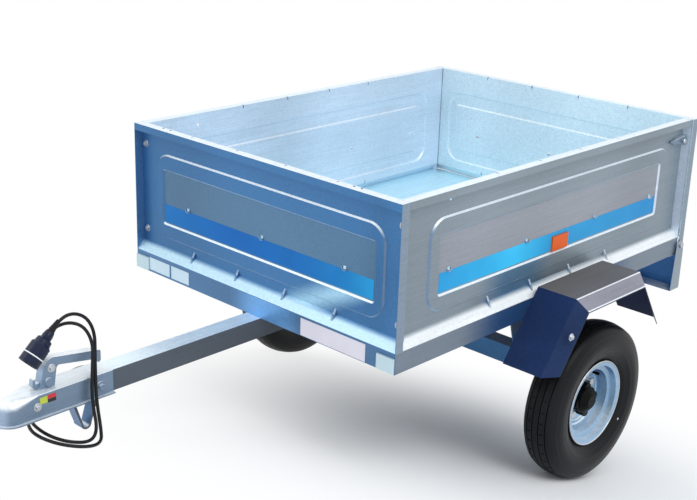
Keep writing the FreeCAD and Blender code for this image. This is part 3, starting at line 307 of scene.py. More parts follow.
# %% Zinc materials
# PAINTED_SKY_BLUE is the sky's painted reflection; LIT_WHITE and SHADED are painted light and shade.
PAINTED_SKY_BLUE, WALL_GREY = srgb(96, 138, 184), srgb(150, 162, 170)
LIT_WHITE, SHADED = srgb(232, 243, 250), srgb(96, 108, 124)
floor_zinc = zinc("galvanised_floor", PAINTED_SKY_BLUE, WALL_GREY, srgb(206, 238, 252), SHADED, patches=0.12)
bar_zinc = zinc("galvanised_bar", PAINTED_SKY_BLUE, srgb(84, 92, 102), srgb(232, 246, 253), SHADED)
lamp_panel_zinc = zinc("galvanised_lamp_panel", srgb(72, 136, 206), srgb(146, 160, 170), LIT_WHITE, SHADED)
pressing_zinc = zinc("zinc_pressings", srgb(158, 178, 202), srgb(118, 138, 160), srgb(240, 246, 250),
                     srgb(110, 120, 132), patches=0.08)
arm_steel = zinc("axle_steel", srgb(62, 116, 166), srgb(90, 112, 140), srgb(150, 165, 185),
                 srgb(60, 66, 76))
rim_silver = zinc("rim_silver", srgb(160, 190, 214), srgb(152, 182, 208), srgb(232, 242, 250),
                  srgb(82, 116, 162), metallic=0.7)
bright_steel = zinc("bright_steel", srgb(186, 190, 198), srgb(190, 194, 200), srgb(236, 238, 240),
                    srgb(96, 100, 108), metallic=0.85, patches=0.05)
print("zinc tones:", len(bpy.data.materials))

# %% [markdown]
# A large sheet is never one even tone: the light on it runs softly from light to dark along its length, and
# its folds bound the tones. A big lamp could make such a run, but it would be wrong from the next side. So
# the run is painted light and shade, a colour ramp along the wall with a level at each place in metres, and
# a fold's two sides are told apart by a mask that is 1 between two places.

# %% Helpers for runs of brightness
def painted_light_run(tree, source, stops):
    """A soft run of painted light and shade along a sheet, from a list of (place in metres, level) stops."""
    first, last = stops[0][0], stops[-1][0]
    share = add_node(tree, "ShaderNodeMapRange", {"Value": source, "From Min": first, "From Max": last})
    ramp = add_node(tree, "ShaderNodeValToRGB", {0: share.outputs[0]})
    ramp.color_ramp.interpolation = "EASE"
    marks = ramp.color_ramp.elements
    marks[0].color = (stops[0][1],) * 3 + (1,)
    marks[-1].color = (stops[-1][1],) * 3 + (1,)
    for place, level in stops[1:-1]:
        marks.new((place - first) / (last - first)).color = (level,) * 3 + (1,)
    return ramp.outputs["Color"]


def span(tree, source, low, high, soft=0.004):
    """1 where the source lies between two places and 0 outside, with a soft edge."""
    return calculate(tree, "MULTIPLY", fade(tree, source, low - soft, low + soft),
                     fade(tree, source, high + soft, high - soft))


print("helpers:", [helper.__name__ for helper in (painted_light_run, span)])

# %% [markdown]
# The eye reads the four walls first. A pressed panel shows a different piece of sky in its sunk field than in
# the raised frame round it, its sloping foot fades to near white, and somewhere along the frame it mirrors
# one bright or dark thing. The tints below are painted reflection and painted light for all of this, and so
# are the pale inside and the runs along each wall. Such tones could stand in the nodes, but in a list they
# are easier to tune. The two ends look alike, and so do the two sides, so two lists are enough.

# %% Looks of the ends and the sides
FOOT_TOP, FIELD_LOW, FIELD_HIGH, FOLD_SOFT = 0.539, 0.604, 0.745, 0.011
# Painted reflection on the front wall's folded ends; PALE_UNDER paints a highlight on faces that look down.
FLANGE_BLUE, CORNER_GREY = srgb(84, 130, 178), srgb(132, 148, 164)
OUTER_SLOPE, PALE_UNDER = (0.545, 0.59), srgb(190, 212, 232)
END_WALL = {
    "faces": "Along", "runs": "Across", "field": (-0.37, 0.37), "frame tint": srgb(66, 124, 178),
    "field tint": srgb(90, 130, 164), "foot tint": srgb(192, 226, 242), "inner tint": srgb(232, 248, 254),
    "outside": ((-0.46, 0.84), (-0.3, 0.8), (-0.08, 0.92), (0.12, 0.94), (0.3, 0.92), (0.38, 0.84),
                (0.46, 1.0)),
    "inside": ((-0.46, 0.92), (-0.3, 1.0), (-0.12, 0.94), (0.1, 0.98), (0.3, 1.0), (0.46, 1.0)),
    "painted_reflection": (0.11, 0.2, 1.9, srgb(180, 226, 250)), "slope tint": srgb(186, 216, 246)}
SIDE_WALL = {
    "faces": "Across", "runs": "Along", "field": (-1.089, -0.161), "frame tint": srgb(140, 153, 163),
    "field tint": srgb(154, 159, 169), "foot tint": srgb(242, 247, 250), "inner tint": srgb(226, 238, 252),
    "outside": ((-1.2, 0.96), (-1.0, 0.84), (-0.75, 1.0), (-0.5, 0.94), (-0.3, 1.0), (-0.1, 0.88),
                (0.0, 0.84)),
    "inside": ((-1.2, 0.98), (-0.95, 0.92), (-0.7, 0.98), (-0.5, 0.84), (-0.25, 1.0), (0.0, 0.94)),
    "painted_reflection": (-0.56, -0.36, 0.0, srgb(90, 126, 156)), "slope tint": srgb(252, 254, 255)}
print("sunk field", round((FIELD_HIGH - FIELD_LOW) * 1000), "mm high, foot up to", FOOT_TOP, "m")

# %% [markdown]
# A wall's outside, inside, foot and folds are parts of one sheet, so one material has to tell them apart.
# Four materials on picked faces could do it, but the edges would be hard, and the mesh has to stay as it is.
# Masks by place and by facing have soft edges. Each line below lays one more tone of painted reflection,
# painted light or painted shade over the ones before.

# %% Wall materials
def painted_reflection_mask(tree, along, height, low, high, lean):
    """A soft painted reflection between a wall's foot and its field, leaning along the wall as it rises."""
    risen = calculate(tree, "MULTIPLY", calculate(tree, "SUBTRACT", height, FOOT_TOP), lean)
    return calculate(tree, "MULTIPLY", span(tree, calculate(tree, "SUBTRACT", along, risen), low, high, 0.06),
                     span(tree, height, FOOT_TOP - 0.006, FIELD_LOW, 0.008))


def wall_zinc(name, wall, sign):
    """The zinc of one wall, of the ends' or the sides' look. sign is the way that it faces outwards."""
    material, tree, shader = new_material(name, metallic=0.45)
    where = use_group(tree, level_spot, {})
    along, height = where[wall["runs"]], where["Height"]
    in_field = calculate(tree, "MULTIPLY", span(tree, along, *wall["field"]),
                         span(tree, height, FIELD_LOW, FIELD_HIGH))
    face = mix_colours(tree, in_field, wall["frame tint"], wall["field tint"])
    face = mix_colours(tree, 1.0, face, painted_light_run(tree, along, wall["outside"]), "MULTIPLY")
    # A patch of painted reflection over the face, bright on the ends and dark on the sides.
    low, high, lean, painted_reflection = wall["painted_reflection"]
    face = mix_colours(tree, painted_reflection_mask(tree, along, height, low, high, lean), face, painted_reflection)
    inner = mix_colours(tree, 1.0, wall["inner tint"], painted_light_run(tree, along, wall["inside"]), "MULTIPLY")
    flange = mix_colours(tree, fade(tree, where["Across"], 0.0, 0.2), FLANGE_BLUE, CORNER_GREY)
    foot = mix_colours(tree, fade(tree, height, FOOT_TOP - FOLD_SOFT, FOOT_TOP), wall["foot tint"], face)
    top = mix_colours(tree, span(tree, height, *OUTER_SLOPE, 0.009), LIT_WHITE, wall["slope tint"])
    top = mix_colours(tree, fade(tree, height, FOOT_TOP, FOOT_TOP + 0.001), foot, top)
    tints = use_group(tree, facing, {
        "Ends": face if wall is END_WALL else PAINTED_SKY_BLUE, "Sides": flange if wall is END_WALL else face,
        "Top": top, "Under": PALE_UNDER})
    looks_in = fade(tree, calculate(tree, "MULTIPLY", tints[wall["faces"]], -sign), 0.35, 0.75)
    rear_inside = calculate(tree, "MULTIPLY", fade(tree, tints["Along"], 0.35, 0.75),
                            fade(tree, where["Along"], -0.5, -1.0))
    looks_in = calculate(tree, "MAXIMUM", looks_in, rear_inside)
    finish_zinc(tree, shader, mix_colours(tree, looks_in, tints["Color"], inner), 0.035)
    return material


wall_finish = {"front_panel": wall_zinc("zinc_front_wall", END_WALL, 1),
               "tailgate_panel": wall_zinc("zinc_tailgate", END_WALL, -1)}
for side, sign in SIDES:
    wall_finish["side_panel_" + side] = wall_zinc("zinc_wall_" + side, SIDE_WALL, sign)
print("walls:", sorted(wall_finish))

# %% [markdown]
# The rails under the walls are folded from the same sheet, but they mirror the ground. The front one is dark
# blue with one bright place, where the bar meets it, and the side ones turn blue in the guards' shade. Two
# more lamps could light those places alone, but lamps also light their neighbours. So both are painted
# reflection and painted shade, with the same runs and masks as on the walls.

# %% Rail material
RAIL_RUN = ((-0.46, 0.5), (-0.1, 0.42), (0.02, 0.95), (0.1, 0.85), (0.17, 0.42), (0.46, 0.42))
RAIL_SHADE_FROM, RAIL_SHADE_TO = -0.9, -0.3
rail_zinc, tree, shader = new_material("galvanised_rails", metallic=0.45)
where = use_group(tree, level_spot, {})
# Painted shade on the side rails behind the guards.
rail_side = mix_colours(tree, span(tree, where["Along"], RAIL_SHADE_FROM, RAIL_SHADE_TO, 0.09),
                        srgb(120, 132, 146), srgb(50, 88, 136))
rail_end = mix_colours(tree, 1.0, srgb(118, 178, 238), painted_light_run(tree, where["Across"], RAIL_RUN), "MULTIPLY")
tints = use_group(tree, facing, {"Ends": rail_end, "Sides": rail_side, "Top": LIT_WHITE, "Under": SHADED})
finish_zinc(tree, shader, tints["Color"], 0.06)
print("front rail brightest", round(RAIL_RUN[2][0] * 1000), "mm from the middle")

# %% [markdown]
# The mudguards are folded from dark coated steel. Their tints by facing are painted reflection and painted
# light: the long chamfer looks at the sky and is the palest face, and each fold beside it gets a painted
# highlight, a thin bright line. The folds could be rounded in the mesh, but they are finer than the picture
# can show, and the mesh stays as it is. So masks paint both.

# %% Mudguard steel
GUARD_EDGE, GUARD_FOLD, FOLD_LINE = 0.602, 0.573, 0.0016
guard_steel, tree, shader = new_material("mudguard_steel", gloss=0.04, metallic=0.2)
where = use_group(tree, level_spot, {})
tints = use_group(tree, facing, {"Ends": srgb(34, 54, 98), "Sides": srgb(42, 52, 72),
                                 "Top": srgb(42, 60, 100), "Under": srgb(24, 24, 26)})
aside = calculate(tree, "ABSOLUTE", where["Across"], 0.0)
looks_up = fade(tree, tints["Up"], 0.62, 0.68)
on_chamfer = calculate(tree, "MULTIPLY", looks_up, fade(tree, aside, GUARD_FOLD, GUARD_FOLD + 0.001))
# Painted highlights along the chamfer's two folds.
folds = calculate(tree, "MAXIMUM", span(tree, aside, GUARD_FOLD - FOLD_LINE, GUARD_FOLD + FOLD_LINE, 0.0005),
                  fade(tree, aside, GUARD_EDGE - 2 * FOLD_LINE, GUARD_EDGE - FOLD_LINE))
folds = calculate(tree, "MULTIPLY", folds, looks_up)
topped = mix_colours(tree, looks_up, tints["Color"], srgb(120, 117, 116))
chamfered = mix_colours(tree, on_chamfer, topped, srgb(150, 149, 160))
finish_zinc(tree, shader, mix_colours(tree, folds, chamfered, srgb(240, 243, 248)), 0.12)
print("chamfer", round((GUARD_EDGE - GUARD_FOLD) * 1000), "mm wide, fold lines", FOLD_LINE * 2000, "mm")

# %% [markdown]
# Rubber and plastic need less: a dark colour that is never fully black, a slow change of tone, and a fine
# grain that breaks the highlight. The grain could be carved into every mesh, but it is finer than a tenth
# of a millimetre. A noise in the material does it, and one group makes it for all of them.

# %% Group: grain of rubber and plastic
grain, given, result = new_group(
    "grain", {"Scale": "Float", "Spread": "Float"}, {"Tone": "Color", "Height": "Float"})
place = add_node(grain, "ShaderNodeTexCoord").outputs["Object"]
fine = add_node(grain, "ShaderNodeTexNoise", {"Vector": place, "Scale": given["Scale"], "Detail": 4})
slow = add_node(grain, "ShaderNodeTexNoise", {"Vector": place, "Scale": 9, "Detail": 3}).outputs[0]
swing = calculate(grain, "MULTIPLY", fade(grain, slow, 0.3, 0.7, -1, 1), given["Spread"])
wire(grain, grey(grain, calculate(grain, "ADD", 1.0, swing)), result["Tone"])
wire(grain, fine.outputs[0], result["Height"])
print("group", grain.name, "with", len(grain.nodes), "nodes")

# %% [markdown]
# The tyres, the cable and its plug, the hub covers, the lamps and the plates are all moulded. Each could be
# one flat colour, but then it would look cut out of paper. So one function lays the grain over a colour, and
# each part differs only in tone, roughness and gloss. Old rubber is dull, and a plug is a little shinier.

# %% Plastic and rubber materials
def moulded(name, colour, roughness, scale=900, depth=0.0002, spread=0.12, gloss=0.5):
    """A moulded material: one colour with a slow change of tone and a fine grain."""
    material, tree, shader = new_material(name, gloss=gloss, roughness=roughness)
    pattern = use_group(tree, grain, {"Scale": scale, "Spread": spread})
    wire(tree, mix_colours(tree, 1.0, colour, pattern["Tone"], "MULTIPLY"), shader.inputs["Base Color"])
    add_bump(tree, shader, pattern["Height"], depth, 0.5)
    return material


tyre_rubber = moulded("tyre_rubber", srgb(22, 23, 26), 0.4, scale=500, depth=0.0003, gloss=0.16)
cable_rubber = moulded("cable_rubber", srgb(24, 24, 28), 0.4, gloss=0.25)
black_plastic = moulded("black_plastic", srgb(14, 26, 54), 0.3, gloss=0.3)
hub_black = moulded("hub_black", srgb(12, 13, 13), 0.4, gloss=0.08)
lamp_black = moulded("lamp_black", srgb(26, 27, 30), 0.4)
white_ring = moulded("white_ring", srgb(236, 238, 240), 0.4, spread=0.03)
plate_white = moulded("plate_white", srgb(226, 222, 232), 0.4, spread=0.03, depth=0.00005)
plate_cyan = moulded("plate_cyan", srgb(204, 226, 238), 0.35, spread=0.04, depth=0.00005)
print("materials so far:", len(bpy.data.materials))

# %% [markdown]
# Lamps and reflectors are clear coloured plastic with a grid of small prisms behind it, which throws light
# back. Thousands of real prisms would be too heavy a mesh for such a small part, so they are a pattern of
# fine squares: each is a little darker towards its edge and bumped like a shallow pyramid.

# %% Lens materials
PRISM_SCALE = 240


def prism_lens(name, colour):
    """Clear coloured plastic with a grid of small prisms behind its surface."""
    material, tree, shader = new_material(name, gloss=0.2, roughness=0.2, coat_weight=0.1)
    place = use_group(tree, level_spot, {})["Place"]
    cells = add_node(tree, "ShaderNodeTexVoronoi", {"Vector": place, "Scale": PRISM_SCALE, "Randomness": 0.0},
                     distance="CHEBYCHEV").outputs["Distance"]
    edge = [channel * 0.7 for channel in colour[:3]] + [1.0]
    wire(tree, mix_colours(tree, fade(tree, cells, 0.1, 0.5), colour, edge), shader.inputs["Base Color"])
    add_bump(tree, shader, cells, 0.0006, 0.6)
    return material


lens_red, lens_amber = prism_lens("lens_red", srgb(200, 24, 20)), prism_lens("lens_amber", srgb(255, 128, 16))
lens_orange, lens_white = (prism_lens("lens_orange", srgb(255, 104, 8)),
                           prism_lens("lens_white", srgb(214, 238, 246)))
print("prisms", round(1000 / PRISM_SCALE, 1), "mm wide")

# %% [markdown]
# Each piece of the frame now gets its finish. They could be picked one by one, but their names already say
# what they are, so a short list goes from the start of a name to a material. A finish goes into the
# piece's material slots, and its mesh isn't touched.

# %% Materials on the frame's own pieces
FINISHES = (
    (rail_zinc, "side_rail front_rail rear_rail middle_rail"), (lamp_panel_zinc, "light_panel"),
    (bar_zinc, "drawbar"), (floor_zinc, "floor_panel"),
    (pressing_zinc, "coupling_body coupling_lever drawbar_skid tailgate_catch"),
    (guard_steel, "mudguard"), (arm_steel, "axle_beam axle_hanger swing_arm"),
    (bright_steel, "tailgate_pivot"), (tyre_rubber, "tyre"), (rim_silver, "rim"), (hub_black, "hub"),
    (cable_rubber, "cable_gland light_cable"), (black_plastic, "cable_plug"),
    (lens_orange, "side_reflector"), (lens_white, "front_reflector"), (lens_red, "rear_lamp"))


def finish_for(node):
    """The material for a piece of the frame, by the start of its name."""
    for material, stems in FINISHES:
        if any(node == stem or node.startswith(stem + "_") for stem in stems.split()):
            return material
    return wall_finish[node]


for node, piece in NODES.items():
    if not piece.material_slots:
        piece.data.materials.append(finish_for(node))
    for material_slot in piece.material_slots:
        material_slot.material = finish_for(node)
print("dressed", len(NODES), "pieces of the frame in",
      len({piece.material_slots[0].material.name for piece in NODES.values()}), "finishes")

# %% [markdown]
# The light cable leaves the bar on its far side, runs round under the coupling, goes twice over the lever
# like a skein, and ends in the plug that leans on the lever's shoulder. It could be a row of short
# cylinders, but a cable this stiff never has a sharp corner. So its line is a smooth curve of third order
# through few points, and the curve's own bevel gives it its thickness.

# %% Light cable
CABLE_DIAMETER = 0.0075
CABLE_EXIT = (0.424, -0.037, 0.439)
CABLE_ROUTE = [
    (0.424, -0.072, 0.439), (0.452, -0.107, 0.424), (0.512, -0.106, 0.397), (0.564, -0.088, 0.379),
    (0.604, -0.046, 0.379), (0.622, 0.008, 0.384), (0.622, 0.062, 0.383), (0.598, 0.098, 0.375),
    (0.552, 0.106, 0.362), (0.514, 0.076, 0.366), (0.505, 0.049, 0.411), (0.505, 0.048, 0.457),
    (0.494, 0.038, 0.501), (0.480, 0.022, 0.542), (0.492, 0.006, 0.580), (0.524, -0.014, 0.590),
    (0.551, -0.038, 0.566), (0.557, -0.060, 0.524), (0.557, -0.066, 0.472), (0.574, -0.068, 0.424),
    (0.606, -0.046, 0.387), (0.636, 0.002, 0.387), (0.648, 0.054, 0.390), (0.628, 0.106, 0.384),
    (0.578, 0.128, 0.368), (0.530, 0.112, 0.354), (0.501, 0.070, 0.361), (0.496, 0.051, 0.413),
    (0.494, 0.046, 0.465), (0.480, 0.028, 0.514), (0.465, 0.008, 0.556), (0.478, 0.000, 0.592),
    (0.512, 0.000, 0.612), (0.545, 0.000, 0.607), (0.569, 0.000, 0.584)]

curve = bpy.data.curves.new("light_cable_jacket", "CURVE")
curve.dimensions = "3D"
curve.bevel_depth = CABLE_DIAMETER / 2
curve.bevel_resolution = 5
curve.resolution_u = 10
curve.use_fill_caps = True
spline = curve.splines.new("NURBS")
points = [PARK @ Vector(point) for point in [CABLE_EXIT] + CABLE_ROUTE]
spline.points.add(len(points) - 1)
for control, point in zip(spline.points, points):
    control.co = (*point, 1)
spline.order_u = 3
spline.use_endpoint_u = True
curve.materials.append(cable_rubber)
cable = put("light_cable_jacket", curve)
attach(cable, "trailer")
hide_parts("light_cable")

# %% [markdown]
# New solid pieces are made as with the mouse: everything is deselected, a primitive is added, and it is
# shaped in edit mode. How a piece begins and ends is always the same, and could be typed out each time, but
# one forgotten line would leave a piece on the wrong body. So those steps are helpers, and each piece below
# is only its shape.

# %% Helpers that begin and end a piece
def start_piece(name):
    """Takes the primitive that was just added, names it and opens it for editing."""
    piece = bpy.context.active_object
    piece.name = piece.data.name = name
    bpy.ops.object.mode_set(mode="EDIT")
    bpy.ops.mesh.select_all(action="SELECT")
    return piece


def settle(piece, material, body, slot=None, tip=PARK):
    """Closes a piece: tips it with the trailer, sets it at the origin, and gives it finish and body."""
    if piece.mode == "EDIT":
        bpy.ops.object.mode_set(mode="OBJECT")
    bpy.context.view_layer.update()
    piece.data.transform(tip @ piece.matrix_world)
    piece.matrix_world = Matrix.Identity(4)
    piece.data.materials.clear()
    piece.data.materials.append(material)
    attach(piece, body)
    return piece


def smooth(piece, angle=40):
    """Shades a piece smooth, apart from edges sharper than the angle."""
    if piece.mode == "EDIT":
        bpy.ops.object.mode_set(mode="OBJECT")
    bpy.ops.object.select_all(action="DESELECT")
    piece.select_set(True)
    bpy.context.view_layer.objects.active = piece
    bpy.ops.object.shade_smooth_by_angle(angle=math.radians(angle))
    bpy.ops.object.select_all(action="DESELECT")


print("helpers:", [helper.__name__ for helper in (start_piece, settle, smooth)])

# %% [markdown]
# A hexagon bolt is the smallest piece and shows up everywhere. Its head could be left a plain prism, but
# real heads have a worn top edge that glints. So it is a cylinder with six sides whose top edge is bevelled,
# on a thin round washer. One template is modelled and later stamped wherever steel meets steel.

# %% Hexagon bolt template
WASHER_TOP, WASHER_SUNK, WASHER_EDGE = 0.0012, 0.0004, 0.0004


def hex_bolt(across, tall):
    """A bolt head on its washer, pointing along Z from the origin."""
    bpy.ops.object.select_all(action="DESELECT")
    bpy.ops.mesh.primitive_cylinder_add(vertices=6, radius=across / math.sqrt(3), depth=tall,
                                        location=(0, 0, tall / 2 + WASHER_TOP))
    head = start_piece("bolt_head")
    bpy.ops.mesh.select_all(action="DESELECT")
    bpy.ops.object.mode_set(mode="OBJECT")
    for edge in head.data.edges:
        ends = [head.data.vertices[number].co.z for number in edge.vertices]
        edge.select = min(ends) > 0
    bpy.ops.object.mode_set(mode="EDIT")
    bpy.ops.mesh.bevel(offset=tall * 0.16, segments=2)
    bpy.ops.object.mode_set(mode="OBJECT")
    bpy.ops.mesh.primitive_cylinder_add(vertices=20, radius=across * 0.95, depth=WASHER_TOP + WASHER_SUNK,
                                        location=(0, 0, (WASHER_TOP - WASHER_SUNK) / 2))
    start_piece("washer")
    bpy.ops.mesh.bevel(offset=WASHER_EDGE, segments=1)
    bpy.ops.object.mode_set(mode="OBJECT")
    head.select_set(True)
    bpy.context.view_layer.objects.active = head
    bpy.ops.object.join()
    bpy.ops.object.transform_apply(location=True, rotation=True, scale=True)
    return head


small_bolt = hex_bolt(0.010, 0.005)
print("bolt heads with", len(small_bolt.data.polygons), "faces")

# %% [markdown]
# Films, plates and lamp housings are flat blocks between two corners. A cube could be scaled as an object,
# but a pattern would then be stretched with it. So it is scaled in edit mode, and its edges are bevelled,
# because no real edge is perfectly sharp and a bevel is what catches the light. Two more helpers pick faces
# by their place and set the widest one in or out, inside a border.

# %% Helpers for flat pieces
def slab(name, low, high, bevel=0.0003, segments=1):
    """A block between two corners of the level trailer, its edges bevelled, left open for editing."""
    low, high = Vector(low), Vector(high)
    bpy.ops.object.select_all(action="DESELECT")
    bpy.ops.mesh.primitive_cube_add(size=1)
    piece = start_piece(name)
    bpy.ops.transform.resize(value=high - low)
    bpy.ops.transform.translate(value=(low + high) / 2)
    bpy.ops.mesh.bevel(offset=bevel, segments=segments)
    return piece


def pick_faces(piece, test):
    """Selects the faces whose centre and normal pass a test, and returns to edit mode."""
    bpy.ops.object.mode_set(mode="EDIT")
    bpy.ops.mesh.select_mode(type="FACE")
    bpy.ops.mesh.select_all(action="DESELECT")
    bpy.ops.object.mode_set(mode="OBJECT")
    for face in piece.data.polygons:
        face.select = test(face.center, face.normal)
    bpy.ops.object.mode_set(mode="EDIT")


def framed(piece, way, border, depth):
    """Insets the largest face that looks a certain way and moves it in or out by a depth."""
    way = Vector(way)
    bpy.ops.object.mode_set(mode="OBJECT")
    widest = max((face for face in piece.data.polygons if face.normal.dot(way) > 0.99), key=lambda f: f.area)
    centre = widest.center.copy()
    pick_faces(piece, lambda at, normal: (at - centre).length < 0.0001)
    bpy.ops.mesh.inset(thickness=border)
    bpy.ops.mesh.extrude_region_move(TRANSFORM_OT_translate={"value": way * depth})
    bpy.ops.mesh.bevel(offset=abs(depth) * 0.3, segments=1)
    return piece


print("helpers:", [helper.__name__ for helper in (slab, pick_faces, framed)])

# %% [markdown]
# The decoration of this trailer is one broad blue stripe along the foot of each sunk field. It is printed
# film, and its lightness is painted reflection, lightest where the sky is brightest in it. The stripe could
# be painted into the wall's material by a mask, but film has an edge that one sees from near. So it is a very
# thin block on the sheet, and the rope hooks push through its upper edge. First its material: a run of
# painted reflection between a deep and a light blue.

# %% Stripe film
def stripe_film(name, runs, stops):
    """Blue printed film whose lightness, a painted reflection, runs along the stripe."""
    material, tree, shader = new_material(name, gloss=0.15, roughness=0.36)
    where = use_group(tree, level_spot, {})
    pattern = use_group(tree, grain, {"Scale": 700, "Spread": 0.05})
    run = mix_colours(tree, painted_light_run(tree, where[runs], stops), srgb(10, 100, 180), srgb(64, 204, 252))
    wire(tree, mix_colours(tree, 1.0, run, pattern["Tone"], "MULTIPLY"), shader.inputs["Base Color"])
    add_bump(tree, shader, pattern["Height"], 0.00003, 0.4)
    return material


end_film = stripe_film("stripe_end", "Across", (
    (-0.37, 0.1), (-0.1, 0.02), (0.1, 0.05), (0.25, 0.16), (0.37, 0.4)))
side_film = stripe_film("stripe_side", "Along", (
    (-1.09, 0.3), (-0.85, 0.42), (-0.6, 0.5), (-0.45, 0.86), (-0.3, 0.6), (-0.16, 0.42)))
print("films:", end_film.name, side_film.name)

# %% [markdown]
# Now the four stripes. They could be drawn by hand on each wall, but all lie on the sunk field's skin, from
# its foot up to one height, with the same small margin at the ends. So each is one slab between numbers that
# are known already: the ends' stripes run across, the sides' along. The tailgate's rides with the tailgate.

# %% Blue stripes
STRIPE_TOP, FILM, STRIPE_MARGIN = 0.655, 0.0004, 0.003
FRONT_SKIN, SIDE_SKIN, GATE_SKIN = -0.024, 0.436, -1.2075
STRIPE_FOOT = FIELD_LOW + STRIPE_MARGIN
for name, wall, skin, sign in (("front", END_WALL, FRONT_SKIN, 1), ("tailgate", END_WALL, GATE_SKIN, -1),
                               ("left", SIDE_WALL, SIDE_SKIN, 1), ("right", SIDE_WALL, -SIDE_SKIN, -1)):
    start, end = wall["field"][0] + STRIPE_MARGIN, wall["field"][1] - STRIPE_MARGIN
    near, far = sorted((skin, skin + sign * FILM))
    if wall is END_WALL:
        low, high, film = (near, start, STRIPE_FOOT), (far, end, STRIPE_TOP), end_film
    else:
        low, high, film = (start, near, STRIPE_FOOT), (end, far, STRIPE_TOP), side_film
    settle(slab("stripe_" + name, low, high, FILM / 4), film, "tailgate" if name == "tailgate" else "trailer")
print("stripes", round((STRIPE_TOP - FIELD_LOW) * 1000), "mm high")

# %% [markdown]
# A tyre this size is a plain one: smooth sides with a few fine rings, and a tread of ribs. It could start
# as a torus, but a tyre's section is no circle. It is a shape of revolution, so its section is written down
# as points, from the rim seat over the side to the crown's two grooves. Half of it is enough, because the
# other half is the same points mirrored.

# %% A tyre's section
TYRE_RADIUS, SHOULDER_RADIUS, TREAD_HALF, TYRE_HALF = 0.2115, 0.203, 0.038, 0.052
BEAD_RADIUS, BEAD_HALF, RIM_SEAT = 0.116, 0.0317, 0.1033
GROOVES, GROOVE_DEPTH, GROOVE_HALF = (0.0270, 0.0090), 0.0045, 0.0014
SIDE_STEPS, RING_SHARES, RING_RISE = 28, (0.14, 0.34, 0.84, 0.93), 0.0009


def side_wall(share):
    """The tyre's side as (along, radius), from the bead at 0 to the shoulder at 1."""
    straight = BEAD_HALF + (TREAD_HALF - BEAD_HALF) * share
    bulge = (TYRE_HALF - (BEAD_HALF + TREAD_HALF) / 2) * math.sin(math.pi * share) ** 0.85
    return straight + bulge, BEAD_RADIUS + (SHOULDER_RADIUS - BEAD_RADIUS) * share


def tread(along):
    """The crown's radius at a place across the tread."""
    return TYRE_RADIUS - (TYRE_RADIUS - SHOULDER_RADIUS) * (along / TREAD_HALF) ** 2


half = [(BEAD_HALF, RIM_SEAT), (BEAD_HALF, BEAD_RADIUS)]
for step in range(1, SIDE_STEPS):
    along, radius = side_wall(step / SIDE_STEPS)
    on_ring = any(abs(step / SIDE_STEPS - ring) < 0.02 for ring in RING_SHARES)
    half.append((along + RING_RISE if on_ring else along, radius))
half.append((TREAD_HALF, SHOULDER_RADIUS))
for groove in GROOVES:
    for edge, drop in ((1, 0), (0.6, 1), (-0.6, 1), (-1, 0)):
        along = groove + edge * GROOVE_HALF
        half.append((along, tread(along) - drop * GROOVE_DEPTH))
other_half = [(-along, radius) for along, radius in reversed(half)]
print("half a section of", len(half), "points")

# %% [markdown]
# The section becomes a tyre by turning it round the axle. A lathe shape can be made with a Screw modifier
# too, but the spin operator shows each step: a plane is merged to one point, the point is extruded along
# the section, and the whole line is spun. Its faces can come out turned inside, so the normals are
# recalculated. Every other turned piece below is made by the same helper.

# %% The tyre, spun
TYRE_STEPS = 132


def spun(name, profile, steps):
    """A ring turned about the Y axis from an open or closed profile of (along Y, radius) points."""
    bpy.ops.object.select_all(action="DESELECT")
    bpy.ops.mesh.primitive_plane_add(size=0.001)
    piece = start_piece(name)
    bpy.ops.mesh.select_mode(type="VERT")
    bpy.ops.mesh.merge(type="CENTER")
    spot = Vector((0, *profile[0]))
    bpy.ops.transform.translate(value=spot)
    for along, radius in profile[1:]:
        after = Vector((0, along, radius))
        bpy.ops.mesh.extrude_region_move(TRANSFORM_OT_translate={"value": after - spot})
        spot = after
    bpy.ops.mesh.select_all(action="SELECT")
    bpy.ops.mesh.spin(steps=steps, angle=math.tau, center=(0, 0, 0), axis=(0, 1, 0))
    bpy.ops.mesh.select_all(action="SELECT")
    bpy.ops.mesh.remove_doubles(threshold=0.00001)
    bpy.ops.mesh.normals_make_consistent(inside=False)
    bpy.ops.object.mode_set(mode="OBJECT")
    return piece


tyre = spun("tyre_model", half + other_half + half[:1], TYRE_STEPS)
print("plain tyre", len(tyre.data.polygons), "faces")

# %% [markdown]
# Two of the ribs have rows of fine notches. They could be cut with small boxes, but cuts leave ragged
# faces. The ribs are already divided into even faces by the spin, so every third face is picked, inset a
# little and pushed in.

# %% The tyre's notches
NOTCH_EVERY, NOTCH_MARGIN, NOTCH_DEPTH = 3, 0.0032, 0.002


def is_notch(centre, normal):
    """True for every third face of the ribs between the grooves."""
    turn = math.atan2(centre.z, centre.x) / math.tau * TYRE_STEPS
    on_rib = GROOVES[1] + GROOVE_HALF < abs(centre.y) < GROOVES[0] - GROOVE_HALF
    on_crown = abs(normal.y) < 0.3 and math.hypot(centre.x, centre.z) > SHOULDER_RADIUS
    return on_rib and on_crown and math.floor(turn) % NOTCH_EVERY == 0


pick_faces(tyre, is_notch)
bpy.ops.mesh.inset(thickness=NOTCH_MARGIN, use_individual=True)
bpy.ops.mesh.extrude_region_shrink_fatten(TRANSFORM_OT_shrink_fatten={"value": -NOTCH_DEPTH})
smooth(tyre, 32)
print("tyre with notches", len(tyre.data.polygons), "faces")

# %% [markdown]
# Both wheels are the same, and the far one is the near one turned round. Two tyres could be modelled, but
# then every change is made twice. So what belongs to a wheel is modelled once on the wheel's own axis, and
# each side gets a copy with its own mesh, which turns with that wheel.

